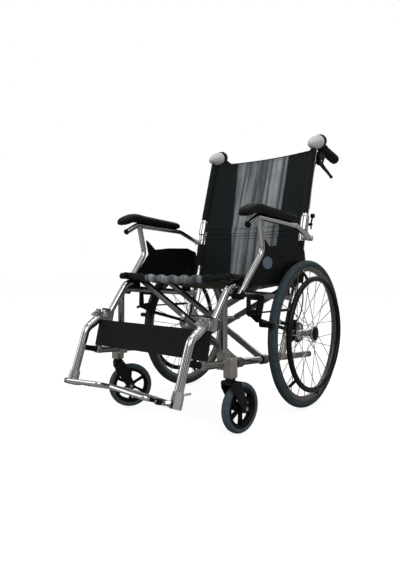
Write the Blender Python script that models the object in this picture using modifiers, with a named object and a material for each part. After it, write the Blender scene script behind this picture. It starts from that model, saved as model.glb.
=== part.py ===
"""Folding wheelchair with spoked rear wheels, swivelling casters, flip-up armrests and swing-away footrests.

X runs across the chair with the user's left at +X, the front faces -Y, and Z is up. While it is
modelled, y = 0 is the rear axle and z = 0 the ground. Frame heights are measured from the lower tube's
height over the axle, FRAME_Z, which stands on the casters. The origin then moves to the middle of the
footprint.
"""

import bmesh
import bpy
from math import acos, atan2, ceil, cos, hypot, pi, radians, sin, sqrt, tan
from mathutils import Matrix, Vector

# Clearances
SEAT_GAP = 0.0003
RUN_GAP = 0.0005

# Rear wheels
WHEEL_R = 0.255
TYRE_WIDTH = 0.029
TYRE_DEPTH = 0.026
RIM_DEPTH = 0.0125
RIM_WIDTH = 0.023
SPOKES = 28
WHEEL_SIDES = 36
SPOKE_R = 0.0011
HUB_FLANGE_R = 0.027
HUB_WAIST_R = 0.0112
HANDRIM_R = 0.191
HANDRIM_TUBE_R = 0.009
HANDRIM_TABS = 6
AXLE_R = 0.0060
DRUM_R = 0.036

# Casters
CASTER_R = 0.0745
CASTER_WIDTH = 0.027
CASTER_RIM_R = CASTER_R - 0.0155
CASTER_SPOKES = 6
CASTER_SIDES = 20
CASTER_TRAIL = 0.0433
CASTER_Y = -0.422
CASTER_YAW = {1: radians(-5.66), -1: radians(-34.5)}
STEM_R = 0.008
FORK_INSIDE = 0.0380
FORK_PLATE = 0.0045
CROWN = 0.010
RACE = 0.009
HOUSING_HEIGHT = 0.060
HOUSING_SIZE = 0.032

# Side frames
TUBE_R = 0.011
RAKE = radians(4.74)
LOW_OVER_HOUSING = 0.003
FRAME_Z = 2 * CASTER_R + CROWN + RACE + LOW_OVER_HOUSING
RAIL_H = 0.2074
FRONT_TUBE_RISE = 0.0208
FRONT_TUBE_FOOT = (0.0125, 0.0215)
FRONT_TUBE_CLIMB = radians(52.9)
UPRIGHT_Y = -0.4255
UPRIGHT_BEND = 0.027
FRONT_BEND = 0.067
TAIL_Y = 0.112
POST_POINT = (-0.4997, 0.156)
POST_LEAN = atan2(0.2354, 0.9719)
POST_R = 0.011
CANE_R = 0.0115
PLATE_THICKNESS = 0.005
CANE_FOOT = (-0.090, 0.0075)
CANE_BEND = (0.012, 0.299)
CANE_TOP = (0.042, 0.446)

# Cross brace and seat
BRACE_WIDTH = 0.019
SEAT_RAIL_R = 0.0105
SEAT_RAIL_RISE = TUBE_R + 0.0320
BRACE_H = (RAIL_H + SEAT_RAIL_RISE) * cos(RAKE)
SEAT_FRONT_Y = -0.415
SEAT_REAR_Y = -0.022
EYE_R = TUBE_R + 0.0045
EYE_LENGTH = 0.030
BRACE_PIN_R = 0.0052
ARMS_A = (-0.355, -0.210)
ARMS_B = (-0.232, -0.056)
CRADLE_BACK = {1: 0.053443, -1: 0.041443}
CRADLE_LENGTH = 0.030
REAR_REST_Y = -0.0745
SEAT_SAG = 0.045
SEAT_PLEATS = 7
SEAT_PLEAT_DEPTH = 0.0022
CLOTH = 0.003

# Folding back and push handles
HINGE_POINT = (0.064, 0.439)
SLEEVE_R = 0.0158
SLEEVE_LENGTH = 0.060
BACK_LEAN = atan2(0.286, 1.0)
BACK_HEIGHT = 0.338
GRIP_DROP = radians(11.0)
GRIP_R = 0.0185
GRIP_LENGTH = 0.120
GRIP_END = 0.186
CAP_LENGTH = 0.150
CAP_R = 0.0225
SLING_TOP_GAP = 0.030
SLING_BOW = 0.020

# Armrests
ARM_BOSS_HALF = 0.0090
ARM_PIN_R = 0.0040
ARM_TUBE_R = 0.0095
ARM_TILT = radians(5.0)
ARM_PIVOT = (0.042, 0.419)
ARM_STUB = (-0.3624, 0.442)
ARM_FRONT = (-0.310, 0.469)
ARM_REAR = (-0.067, 0.457)
ARM_KNEE = (-0.2755, 0.363)
ARM_POST_TOP = (-0.298, 0.468)
ARM_FOOT = (-0.387, RAIL_H + 0.0256)
GUARD_THICKNESS = 0.003
GUARD_OVER_SADDLE = 0.0260
BADGE_R = 0.020

# Wheel locks
LOCK_PLATE = 0.004
LOCK_PIVOT = (-0.268, 0.159)
SHOE_R = 0.008
SHOE_GAP = 0.0010
SHOE_DROP = 0.024

# Footrests
HANGER_R = 0.0125
SOCKET_R = 0.014
HANGER_BEND = (-0.576, 0.1175)
HANGER_FOOT = (-0.627, -0.029)
HEAD_R = 0.0155
HEAD_HEIGHT = 0.015
STOP_ALONG = -0.1135
FOOT_SLEEVE_R = 0.0168
FOOT_SLEEVE_LENGTH = 0.032
PLATE_CENTER = (-0.648, -0.0345)
PLATE_SLOPE = radians(19.2)
PLATE_RISE = radians(3.5)
PLATE_LENGTH = 0.104
PLATE_RIM_R = 0.0050
PLATE_GAP = 0.0225
KNUCKLE_R = 0.0078
STRAP_SPAN = (-0.1005, -0.0172)

# Places across the chair, measured from the side frames' tubes
FRAME_X = 0.2185
PLATE_X = FRAME_X + 0.0020
SEAT_RAIL_X = FRAME_X + 0.0050
LOCK_X = FRAME_X + TUBE_R + SEAT_GAP + LOCK_PLATE / 2
CANE_TOP_X = FRAME_X + 0.0140
BACK_X = CANE_TOP_X + 0.0005
CASTER_X = FRAME_X + 0.0207
ARM_FOOT_X = FRAME_X + 0.0260
GUARD_X = CANE_TOP_X + CANE_R + 0.0052
ARM_X = GUARD_X + 0.0100
PAD_X = ARM_X + 0.0028
WHEEL_X = FRAME_X + 0.0525
HUB_INNER_X = WHEEL_X - 0.0315
HUB_OUTER_X = WHEEL_X + 0.0295
DRUM_X = (HUB_INNER_X - 0.0090, HUB_INNER_X - 0.0010)
HANDRIM_X = WHEEL_X + 0.0310
HANGER_FOOT_X = FRAME_X - 0.0030
PLATE_HINGE_X = FRAME_X - 0.0290

SIDES = {1: "left", -1: "right"}
RAKE_TURN = Matrix.Rotation(-RAKE, 4, "X")


# Collections, materials and basic shapes

def clear_scene():
    for item in list(bpy.data.objects):
        bpy.data.objects.remove(item, do_unlink=True)


def collection(name):
    group = bpy.data.collections.new(name)
    bpy.context.scene.collection.children.link(group)
    return group


clear_scene()
PARTS = collection("wheelchair")
CUTTERS = collection("wheelchair_cutters")


def material(name, colour, roughness, metallic=0.0):
    finish = bpy.data.materials.new(name)
    finish.use_nodes = True
    shader = finish.node_tree.nodes["Principled BSDF"]
    shader.inputs["Base Color"].default_value = (*colour, 1.0)
    shader.inputs["Roughness"].default_value = roughness
    shader.inputs["Metallic"].default_value = metallic
    return finish


ALUMINIUM = material("polished_aluminium", (0.72, 0.72, 0.71), 0.22, 1.0)
CAST = material("cast_aluminium", (0.62, 0.62, 0.61), 0.35, 1.0)
CHROME = material("chromed_steel", (0.78, 0.78, 0.78), 0.12, 1.0)
TYRE_RUBBER = material("slate_rubber", (0.075, 0.105, 0.125), 0.6)
BLACK_PLASTIC = material("black_plastic", (0.015, 0.016, 0.017), 0.4)
BLACK_STEEL = material("black_painted_steel", (0.02, 0.02, 0.021), 0.35, 0.3)
PALE_PLASTIC = material("pale_plastic", (0.62, 0.63, 0.64), 0.35)
BLACK_CLOTH = material("black_cloth", (0.013, 0.02, 0.022), 0.85)
GREY_CLOTH = material("grey_cloth", (0.12, 0.125, 0.13), 0.85)
PAD_VINYL = material("pad_vinyl", (0.018, 0.02, 0.022), 0.5)


def add_mesh(mesh):
    piece = bpy.data.objects.new("shape", mesh)
    PARTS.objects.link(piece)
    return piece


def from_bmesh(work):
    mesh = bpy.data.meshes.new("shape")
    work.to_mesh(mesh)
    work.free()
    return add_mesh(mesh)


def evaluated_mesh(piece):
    graph = bpy.context.evaluated_depsgraph_get()
    graph.update()
    return bpy.data.meshes.new_from_object(piece.evaluated_get(graph), depsgraph=graph)


def bake(piece, weld=False):
    """Turns a curve, or a mesh with modifiers, into a plain mesh in world space."""
    mesh = evaluated_mesh(piece)
    work = bmesh.new()
    work.from_mesh(mesh)
    if weld:
        bmesh.ops.remove_doubles(work, verts=work.verts, dist=0.000002)
    work.transform(piece.matrix_world)
    bpy.data.objects.remove(piece, do_unlink=True)
    return from_bmesh(work)


def facing(axis):
    """A turn whose Z runs along the axis, with Y as near to straight up as it can be."""
    z = Vector(axis).normalized()
    up = Vector((0, 0, 1)) if abs(z.z) < 0.9 else Vector((0, 1, 0))
    x = up.cross(z).normalized()
    return Matrix((x, z.cross(x), z)).transposed().to_4x4()


def bar(start, end, radius, sides=8, end_radius=None):
    """A round bar or cone between two points, standing on a flat of its outline."""
    start, end = Vector(start), Vector(end)
    last = radius if end_radius is None else end_radius
    work = bmesh.new()
    bmesh.ops.create_cone(work, cap_ends=True, segments=sides, radius1=radius, radius2=last,
                          depth=(end - start).length)
    half_step = Matrix.Rotation(pi / sides, 4, "Z")
    work.transform(Matrix.Translation((start + end) / 2) @ facing(end - start) @ half_step)
    return from_bmesh(work)


def outer(radius, gap, sides=16):
    """The corner radius of a many-sided hole that clears a round bar by the gap."""
    return (radius + gap) / cos(pi / sides)


def hole(start, end, radius, gap=SEAT_GAP, sides=10):
    return bar(start, end, outer(radius, gap, sides), sides)


def block(size, center, turn=None, bevel=0.0):
    work = bmesh.new()
    bmesh.ops.create_cube(work, size=1.0)
    bmesh.ops.scale(work, vec=Vector(size), verts=work.verts)
    if bevel:
        bmesh.ops.bevel(work, geom=work.edges[:], offset=bevel, segments=1, affect="EDGES")
    work.transform(Matrix.Translation(center) @ (turn or Matrix()))
    return from_bmesh(work)


def filleted(points, radius, step=radians(16), closed=False):
    """The points of a polyline whose corners are replaced by arcs."""
    points = [Vector(point) for point in points]
    route = []
    for index, corner in enumerate(points):
        if not closed and index in (0, len(points) - 1):
            route.append(corner)
            continue
        before = (points[index - 1] - corner).normalized()
        after = (points[(index + 1) % len(points)] - corner).normalized()
        opening = acos(max(-1.0, min(1.0, before.dot(after))))
        turn = pi - opening
        if turn < radians(1):
            route.append(corner)
            continue
        reach = radius * tan(turn / 2)
        middle = (before + after).normalized()
        center = corner + middle * (radius / cos(turn / 2))
        first = corner + before * reach - center
        last = corner + after * reach - center
        steps = max(1, ceil(turn / step))
        for count in range(steps + 1):
            share = count / steps
            arm = first * sin((1 - share) * turn) + last * sin(share * turn)
            route.append(center + arm / sin(turn))
    return route


def tube(points, radius, fillet=0.0, sides=10, closed=False, step=radians(20), tilt=0.0):
    """A bent round bar along a polyline with rounded corners; the tilt turns its facets about its line."""
    route = filleted(points, fillet, step, closed) if fillet else [Vector(point) for point in points]
    curve = bpy.data.curves.new("route", "CURVE")
    curve.dimensions = "3D"
    curve.bevel_depth = radius
    curve.bevel_resolution = (sides - 4) // 2
    curve.use_fill_caps = not closed
    spline = curve.splines.new("POLY")
    spline.points.add(len(route) - 1)
    spline.use_cyclic_u = closed
    for point, place in zip(spline.points, route):
        point.co = (*place, 1.0)
        point.tilt = tilt
    piece = bpy.data.objects.new("route", curve)
    PARTS.objects.link(piece)
    return bake(piece, weld=True)


def turned(profile, center, axis, sides=24):
    """A solid of revolution. The profile lists (radius, place along the axis); ends on the axis close it."""
    ring = [Vector((radius, 0, along)) for radius, along in profile]
    area = sum(a.x * b.z - b.x * a.z for a, b in zip(ring, ring[1:] + ring[:1]))
    if area > 0:
        ring.reverse()
    mesh = bpy.data.meshes.new("profile")
    loop = not (ring[0].x < 1e-6 and ring[-1].x < 1e-6)
    count = len(ring)
    edges = [(index, (index + 1) % count) for index in range(count if loop else count - 1)]
    mesh.from_pydata([tuple(point) for point in ring], edges, [])
    piece = add_mesh(mesh)
    screw = piece.modifiers.new("turn", "SCREW")
    screw.steps = sides
    screw.render_steps = sides
    screw.use_merge_vertices = True
    screw.merge_threshold = 0.00001
    piece.matrix_world = Matrix.Translation(center) @ facing(axis) @ Matrix.Rotation(pi / sides, 4, "Z")
    bpy.context.view_layer.update()
    return bake(piece, weld=True)


def rounded(points, radius, step=radians(30)):
    """A closed flat outline with rounded corners."""
    flat = [Vector((x, y, 0)) for x, y in points]
    return [(point.x, point.y) for point in filleted(flat, radius, step, closed=True)]


def circle(center, radius, sides=16):
    return [(center[0] + radius * cos(2 * pi * (k + 0.5) / sides),
             center[1] + radius * sin(2 * pi * (k + 0.5) / sides)) for k in range(sides)]


def plate(outlines, thickness, place):
    """A flat plate from an outline and its holes, in the plane that the matrix sets."""
    curve = bpy.data.curves.new("outline", "CURVE")
    curve.dimensions = "2D"
    curve.fill_mode = "BOTH"
    curve.extrude = thickness / 2
    for outline in outlines:
        spline = curve.splines.new("POLY")
        spline.points.add(len(outline) - 1)
        spline.use_cyclic_u = True
        for point, (x, y) in zip(spline.points, outline):
            point.co = (x, y, 0.0, 1.0)
    piece = bpy.data.objects.new("outline", curve)
    PARTS.objects.link(piece)
    piece.matrix_world = place
    bpy.context.view_layer.update()
    return bake(piece, weld=True)


def side_plane(x, y=0.0, z=0.0):
    """Local X to +Y and local Y to +Z, for a plate seen from the side of the chair."""
    return Matrix(((0, 0, 1, x), (1, 0, 0, y), (0, 1, 0, z), (0, 0, 0, 1)))


def loft(rings):
    """A closed skin through rings of equally many points, capped at both ends."""
    work = bmesh.new()
    rows = [[work.verts.new(point) for point in ring] for ring in rings]
    for row, following in zip(rows, rows[1:]):
        for index in range(len(row)):
            after = (index + 1) % len(row)
            work.faces.new((row[index], row[after], following[after], following[index]))
    work.faces.new(rows[0])
    work.faces.new(list(reversed(rows[-1])))
    bmesh.ops.recalc_face_normals(work, faces=work.faces)
    return from_bmesh(work)


def boolean(piece, tool, operation):
    step = piece.modifiers.new(operation.lower(), "BOOLEAN")
    step.operation = operation
    step.solver = "EXACT"
    step.object = tool


def join(piece, *others):
    """One body from pieces that run into each other."""
    for other in others:
        boolean(piece, other, "UNION")
    body = bake(piece)
    for other in others:
        bpy.data.objects.remove(other, do_unlink=True)
    return body


def cut(piece, *tools):
    """Takes the tools' shapes out of the piece, and keeps the tools as wire cutters."""
    for tool in tools:
        boolean(piece, tool, "DIFFERENCE")
        PARTS.objects.unlink(tool)
        CUTTERS.objects.link(tool)
        tool.hide_render = True
        tool.display_type = "WIRE"
    return piece


def trim(piece, *tools):
    """Takes the tools' shapes out at once, for a piece that is joined to others afterwards."""
    for tool in tools:
        boolean(piece, tool, "DIFFERENCE")
    body = bake(piece)
    for tool in tools:
        bpy.data.objects.remove(tool, do_unlink=True)
    return body


def empty(name, place, parent=None):
    """A joint's marker: the pieces that move with it are its children."""
    marker = bpy.data.objects.new(name, None)
    marker.empty_display_size = 0.03
    PARTS.objects.link(marker)
    marker.parent = parent
    marker.matrix_world = Matrix.Translation(place)
    bpy.context.view_layer.update()
    return marker


def name_piece(piece, name, finish, marker, smooth=True):
    """Names a finished piece, gives it its material and hangs it on its joint's marker."""
    piece.name = name
    piece.data.name = name
    piece.data.materials.clear()
    piece.data.materials.append(finish)
    if smooth:
        piece.data.shade_smooth()
        piece.data.set_sharp_from_angle(angle=radians(35))
    followers = [step.object for step in piece.modifiers if step.type == "BOOLEAN"]
    for item in [piece, *followers]:
        item.parent = marker
        item.matrix_parent_inverse = marker.matrix_world.inverted()
    return piece


# Shared lines of the frame

def slope_drop(y):
    return tan(RAKE) * y


def low(y):
    return FRAME_Z - slope_drop(y)


def rail(y):
    return FRAME_Z + RAIL_H - slope_drop(y)


def seat_rail(y):
    return rail(y) + SEAT_RAIL_RISE


def at(side, x, point):
    """A point from the side view, given as (y, height over the lower tube's datum)."""
    return Vector((side * x, point[0], FRAME_Z + point[1]))


def cane_x(z):
    share = (z - CANE_FOOT[1] - FRAME_Z) / (CANE_TOP[1] - CANE_FOOT[1])
    return FRAME_X + share * (CANE_TOP_X - FRAME_X)


def on_cane(share):
    """A point between the lower cane's bend (0) and its top (1), as (y, height)."""
    return tuple(a + (b - a) * share for a, b in zip(CANE_BEND, CANE_TOP))


def cane_line(side):
    points = [CANE_FOOT, CANE_BEND, CANE_TOP]
    return [at(side, cane_x(FRAME_Z + point[1]), point) for point in points]


def post_place(side, along=0.0, out=0.0, x=None):
    """A point by the strap post: along its axis, and out behind it (negative is in front)."""
    y = POST_POINT[0] + along * sin(POST_LEAN) + out * cos(POST_LEAN)
    z = FRAME_Z + POST_POINT[1] + along * cos(POST_LEAN) - out * sin(POST_LEAN)
    return Vector((side * (FRAME_X if x is None else x), y, z))


def post_turn(side):
    """Local Z up the post, local X across and local Y to the rear."""
    return Matrix.Rotation(-POST_LEAN, 4, "X")


def brace_place(x, y, normal):
    """A point in the raked frame of the braces: y along the lower tubes, normal square to them."""
    return Vector((x, y * cos(RAKE) + normal * sin(RAKE), FRAME_Z - y * sin(RAKE) + normal * cos(RAKE)))


def back_place(side, along, out=0.0, x=BACK_X):
    """A point by the upper cane: along it from its foot, and out behind it."""
    y = CANE_TOP[0] + along * sin(BACK_LEAN) + out * cos(BACK_LEAN)
    z = FRAME_Z + CANE_TOP[1] + along * cos(BACK_LEAN) - out * sin(BACK_LEAN)
    return Vector((side * x, y, z))


def grip_place(side, along, out=0.0):
    """A point by the push grip's axis: along it to the rear, and out above it."""
    corner = back_place(side, BACK_HEIGHT / cos(BACK_LEAN))
    y = corner.y + along * cos(GRIP_DROP) + out * sin(GRIP_DROP)
    return Vector((corner.x, y, corner.z - along * sin(GRIP_DROP) + out * cos(GRIP_DROP)))


# Side frame

def front_tube_line(side, spare=0.0):
    """The polished tube from the knuckle up and back along the top of the rail."""
    start = post_place(side, *FRONT_TUBE_FOOT)
    corner = front_corner(side)
    end_y = cradle_y(side) + spare
    return [start, corner, Vector((start.x, end_y, front_top(end_y)))]


def front_top(y):
    """The front tube's height where it runs along the top of the rail."""
    return rail(y) + FRONT_TUBE_RISE


def front_corner(side):
    """Where the front tube turns from its climb to its run along the rail."""
    start = post_place(side, *FRONT_TUBE_FOOT)
    rise = (front_top(start.y) - start.z) / (tan(FRONT_TUBE_CLIMB) + tan(RAKE))
    return start + Vector((0, rise, rise * tan(FRONT_TUBE_CLIMB)))


def cradle_y(side):
    return front_corner(side).y + CRADLE_BACK[side]


def front_tube(side, room=0.0):
    """The front tube, or with some room, the tool that clears it."""
    radius = outer(TUBE_R, room, 10) if room else TUBE_R
    return tube(front_tube_line(side, room), radius, FRONT_BEND, step=radians(14), tilt=radians(12))


def side_frame(side, marker):
    x = side * FRAME_X
    post_foot = post_place(side, -0.1255)
    lower = tube([(x, post_foot.y, low(post_foot.y)), (x, TAIL_Y, low(TAIL_Y))], TUBE_R)
    post = bar(post_foot, post_place(side, 0.0180), POST_R, 10)
    rail_end = (-0.020, 0.0)
    upright = tube([(x, UPRIGHT_Y, low(UPRIGHT_Y)), (x, UPRIGHT_Y, rail(UPRIGHT_Y)),
                    (x * 1.004, rail_end[0], rail(rail_end[0]))], TUBE_R, UPRIGHT_BEND, tilt=radians(7))
    front = front_tube(side)
    cane = tube(cane_line(side), CANE_R, 0.060, tilt=radians(4))
    frame = join(lower, post, upright, front, cane, knuckle(side), axle_plate(side), rear_rest(side),
                 arm_lug(side), hinge_lugs(side))
    return name_piece(frame, f"side_frame_{SIDES[side]}", ALUMINIUM, marker)


def knuckle(side):
    """The clevis at the foot of the front tube, with the slot that holds the hanger's head."""
    slot = HEAD_HEIGHT / 2 + RUN_GAP
    outline = [(-0.0098, -0.0165), (0.030, -0.0165), (0.033, -0.012), (0.033, 0.019), (0.028, 0.0225),
               (0.012, 0.0225), (-0.0098, 0.0150), (-0.0098, slot), (HEAD_R + 0.001, slot),
               (HEAD_R + 0.001, -slot), (-0.0098, -slot)]
    place = post_place(side)
    turn = side_plane(0.0) @ Matrix.Rotation(-POST_LEAN, 4, "Z")
    return plate([outline], 0.0170, Matrix.Translation(place) @ turn)


def axle_plate(side):
    y, z = 0.0, WHEEL_R
    lower, upper = FRAME_Z + 0.037, FRAME_Z + 0.151
    outline = [(-0.082, lower), (-0.060, lower - 0.003), (y + 0.012, z - 0.021), (y + 0.023, z),
               (y + 0.012, z + 0.022), (-0.030, upper - 0.003), (-0.044, upper)]
    return plate([rounded(outline, 0.008, radians(60))], PLATE_THICKNESS, side_plane(side * PLATE_X))


def rear_rest(side):
    """The saddle that the seat rail's rear end rests in."""
    y = REAR_REST_Y
    bottom, top = rail(y) + 0.004, seat_rail(y) - 0.002
    height = top - bottom
    rest = block((0.030, 0.022, height), (side * (SEAT_RAIL_X - 0.001), y, bottom + height / 2), bevel=0.0015)
    groove = hole((side * SEAT_RAIL_X, y - 0.03, seat_rail(y - 0.03)),
                  (side * SEAT_RAIL_X, y + 0.03, seat_rail(y + 0.03)), SEAT_RAIL_R)
    return trim(rest, groove)


def arm_axis(side):
    return Vector((cos(ARM_TILT), 0.0, -side * sin(ARM_TILT)))


def arm_center(side, x):
    """A point on the armrest's pivot axis at the given distance from the middle of the chair."""
    pivot = at(side, ARM_X, ARM_PIVOT)
    return pivot + arm_axis(side) * (side * (x - ARM_X) / cos(ARM_TILT))


def arm_lug(side):
    """The welded boss that carries the armrest's pivot pin."""
    boss = bar(arm_center(side, FRAME_X + 0.0100), arm_center(side, ARM_X - ARM_BOSS_HALF - 0.0020), 0.0085)
    pin = bar(arm_center(side, FRAME_X + 0.0195), arm_center(side, ARM_X + ARM_BOSS_HALF + 0.0020), ARM_PIN_R)
    return join(boss, pin)


def hinge_lugs(side):
    """Two lugs behind the lower cane, with the pin that the folding back turns on."""
    y, h = HINGE_POINT
    outline = [(y - 0.032, FRAME_Z + h - 0.022), (y, FRAME_Z + h - 0.0078), (y + 0.0078, FRAME_Z + h),
               (y + 0.0035, FRAME_Z + h + 0.0066), (y - 0.0055, FRAME_Z + h + 0.0020), (y - 0.022, FRAME_Z + h - 0.0030)]
    shape = rounded(outline, 0.0035, radians(60))
    lugs = [plate([shape], 0.003, side_plane(side * CANE_TOP_X + offset)) for offset in (-0.0068, 0.0068)]
    pin = bar(at(side, CANE_TOP_X - 0.0105, HINGE_POINT), at(side, CANE_TOP_X + 0.0105, HINGE_POINT), 0.0030)
    return join(lugs[0], pin, lugs[1])


# Casters

def caster_housing(side, marker):
    """The casting that clamps the frame's corner and holds the caster's stem."""
    bottom = FRAME_Z - LOW_OVER_HOUSING
    middle = bottom + HOUSING_HEIGHT / 2
    core = block((HOUSING_SIZE, HOUSING_SIZE, HOUSING_HEIGHT), (side * CASTER_X, CASTER_Y, middle), bevel=0.003)
    clamp = block((0.029, 0.030, 0.052), (side * FRAME_X, UPRIGHT_Y, bottom + 0.049))
    collar = bar((side * FRAME_X, UPRIGHT_Y, bottom + 0.070), (side * FRAME_X, UPRIGHT_Y, bottom + 0.082), 0.0150)
    x = side * FRAME_X
    lower = hole((x, CASTER_Y - 0.05, low(CASTER_Y - 0.05)), (x, CASTER_Y + 0.05, low(CASTER_Y + 0.05)), TUBE_R)
    upright = hole((x, UPRIGHT_Y, bottom - 0.002), (x, UPRIGHT_Y, bottom + 0.12), TUBE_R)
    bore = hole((side * CASTER_X, CASTER_Y, bottom - 0.01), (side * CASTER_X, CASTER_Y, bottom + 0.053), STEM_R)
    housing = cut(join(core, clamp, collar), lower, upright, bore)
    return name_piece(housing, f"caster_housing_{SIDES[side]}", CAST, marker)


def caster_place(side, x, y, z):
    """A point of the caster, given before its yaw: y runs back from the stem."""
    turn = Matrix.Rotation(CASTER_YAW[side], 4, "Z")
    return Matrix.Translation((side * CASTER_X, CASTER_Y, 0.0)) @ turn @ Vector((x, y, z))


def caster_turn(side):
    return Matrix.Translation((side * CASTER_X, CASTER_Y, 0.0)) @ Matrix.Rotation(CASTER_YAW[side], 4, "Z")


def caster_fork(side, marker):
    crown_z = 2 * CASTER_R
    axle_y, axle_z = CASTER_TRAIL, CASTER_R
    width = FORK_INSIDE + 2 * FORK_PLATE
    legs = []
    outline = [(-0.016, crown_z + CROWN), (0.021, crown_z + CROWN), (axle_y + 0.012, axle_z + 0.006),
               (axle_y + 0.009, axle_z - 0.012), (axle_y - 0.009, axle_z - 0.012), (-0.014, crown_z - 0.010)]
    shape = rounded(outline, 0.004, radians(60))
    turn = caster_turn(side)
    for offset in (-1, 1):
        x = offset * (FORK_INSIDE + FORK_PLATE) / 2
        legs.append(plate([shape], FORK_PLATE, turn @ side_plane(x)))
    crown = block((width - 0.001, 0.034, CROWN - 0.001), (0, 0, 0))
    crown.matrix_world = turn @ Matrix.Translation((0, 0.002, crown_z + CROWN / 2 - 0.0002))
    bpy.context.view_layer.update()
    crown = bake(crown)
    race_top = crown_z + CROWN + RACE - RUN_GAP
    race = bar(caster_place(side, 0, 0, crown_z + 0.004), caster_place(side, 0, 0, race_top), 0.0150, 12)
    stem = bar(caster_place(side, 0, 0, crown_z + 0.005), caster_place(side, 0, 0, race_top + 0.0515), STEM_R)
    half = width / 2
    bolt = bar(caster_place(side, -half - 0.002, axle_y, axle_z),
               caster_place(side, half + 0.002, axle_y, axle_z), 0.0045)
    heads = [bar(caster_place(side, sign * (half - 0.001), axle_y, axle_z),
                 caster_place(side, sign * (half + 0.0035), axle_y, axle_z), 0.0080) for sign in (-1, 1)]
    fork = join(crown, *legs, race, stem, bolt, *heads)
    return name_piece(fork, f"caster_fork_{SIDES[side]}", BLACK_STEEL, marker)


def caster_wheel(side, marker):
    center = caster_place(side, 0, CASTER_TRAIL, CASTER_R)
    axis = caster_turn(side).to_3x3() @ Vector((1, 0, 0))
    rim_r = CASTER_RIM_R / cos(pi / CASTER_SIDES)
    half = CASTER_WIDTH / 2 - 0.0025
    rim = turned([(rim_r, -half), (rim_r, half), (rim_r - 0.011, half - 0.001), (rim_r - 0.011, -half + 0.001)],
                 center, axis, CASTER_SIDES)
    hub_half = FORK_INSIDE / 2 - 0.0012
    hub = bar(center - axis * hub_half, center + axis * hub_half, 0.0135, 12)
    spokes = []
    base = Matrix.Translation(center) @ facing(axis)
    for count in range(CASTER_SPOKES):
        turn = base @ Matrix.Rotation(2 * pi * (count + 0.5) / CASTER_SPOKES, 4, "Z")
        near, far = 0.010, CASTER_RIM_R - 0.008
        outline = [(near, -0.0050), (far, -0.0032), (far, 0.0032), (near, 0.0050)]
        spokes.append(plate([outline], 0.0130, turn))
    bore = hole(center - axis * 0.03, center + axis * 0.03, 0.0045, RUN_GAP)
    wheel = cut(join(hub, *spokes, rim), bore)
    return name_piece(wheel, f"caster_wheel_{SIDES[side]}", BLACK_PLASTIC, marker)


def caster_tyre(side, marker):
    center = caster_place(side, 0, CASTER_TRAIL, CASTER_R)
    axis = caster_turn(side).to_3x3() @ Vector((1, 0, 0))
    grow = 1 / cos(pi / CASTER_SIDES)
    inner = CASTER_RIM_R * grow + SEAT_GAP * grow
    outer_r = CASTER_R * grow
    half = CASTER_WIDTH / 2
    profile = [(inner, -half + 0.003), (outer_r - 0.006, -half), (outer_r, -half + 0.0075),
               (outer_r, half - 0.0075), (outer_r - 0.006, half), (inner, half - 0.003)]
    tyre = turned(profile, center, axis, CASTER_SIDES)
    return name_piece(tyre, f"caster_tyre_{SIDES[side]}", TYRE_RUBBER, marker)


# Rear wheels

def rim_radii():
    """The rim's inner and outer radius, under the tyre."""
    seat = WHEEL_R - TYRE_DEPTH
    return seat - RIM_DEPTH, seat


def rear_tyre(side, marker):
    grow = 1 / cos(pi / WHEEL_SIDES)
    top = WHEEL_R * grow
    seat = rim_radii()[1] + SEAT_GAP * grow
    half = TYRE_WIDTH / 2
    depth = top - seat
    profile = [(seat, -RIM_WIDTH * 0.45), (seat + depth * 0.50, -half), (top, -half * 0.40)]
    profile += [(radius, -along) for radius, along in reversed(profile)]
    tyre = turned(profile, (side * WHEEL_X, 0, WHEEL_R), (1, 0, 0), WHEEL_SIDES)
    return name_piece(tyre, f"rear_tyre_{SIDES[side]}", TYRE_RUBBER, marker)


def rear_wheel(side, marker):
    """Rim, laced spokes and hub."""
    center = Vector((side * WHEEL_X, 0, WHEEL_R))
    inner, seat = rim_radii()
    half = RIM_WIDTH / 2
    rim = turned([(inner, -0.0065), (seat, -half), (seat, half), (inner, 0.0065)], center, (1, 0, 0), WHEEL_SIDES)
    a, b = HUB_INNER_X - WHEEL_X, HUB_OUTER_X - WHEEL_X
    hub_profile = [(0.0, a), (HUB_FLANGE_R, a), (HUB_FLANGE_R, a + 0.0028), (HUB_WAIST_R, a + 0.009),
                   (HUB_WAIST_R + 0.002, 0.010), (HUB_FLANGE_R + 0.001, b - 0.0055), (HUB_FLANGE_R + 0.001, b), (0.0, b)]
    hub = turned([(radius, side * along) for radius, along in hub_profile], center, (1, 0, 0), 14)
    spokes = []
    for count in range(SPOKES):
        at_rim = 2 * pi * (count + 0.5) / SPOKES
        inner_flange = count % 2 == 0
        lead = 1 if count % 4 < 2 else -1
        at_hub = at_rim + lead * radians(62)
        hub_r = HUB_FLANGE_R - (0.004 if inner_flange else 0.0085)
        shift = 0.0013 * lead
        hub_x = (a + 0.0014 + shift * 0.4) if inner_flange else (b - 0.0082 + shift)
        start = center + Vector((side * hub_x, hub_r * cos(at_hub), hub_r * sin(at_hub)))
        rim_r = inner + 0.004
        end = center + Vector((side * 0.0012 * lead, rim_r * cos(at_rim), rim_r * sin(at_rim)))
        spokes.append(bar(start, end, SPOKE_R, 3))
    bore = hole(center - Vector((0.05, 0, 0)), center + Vector((0.05, 0, 0)), AXLE_R, RUN_GAP)
    wheel = cut(join(rim, *spokes, hub), bore)
    return name_piece(wheel, f"rear_wheel_{SIDES[side]}", CAST, marker)


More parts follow.
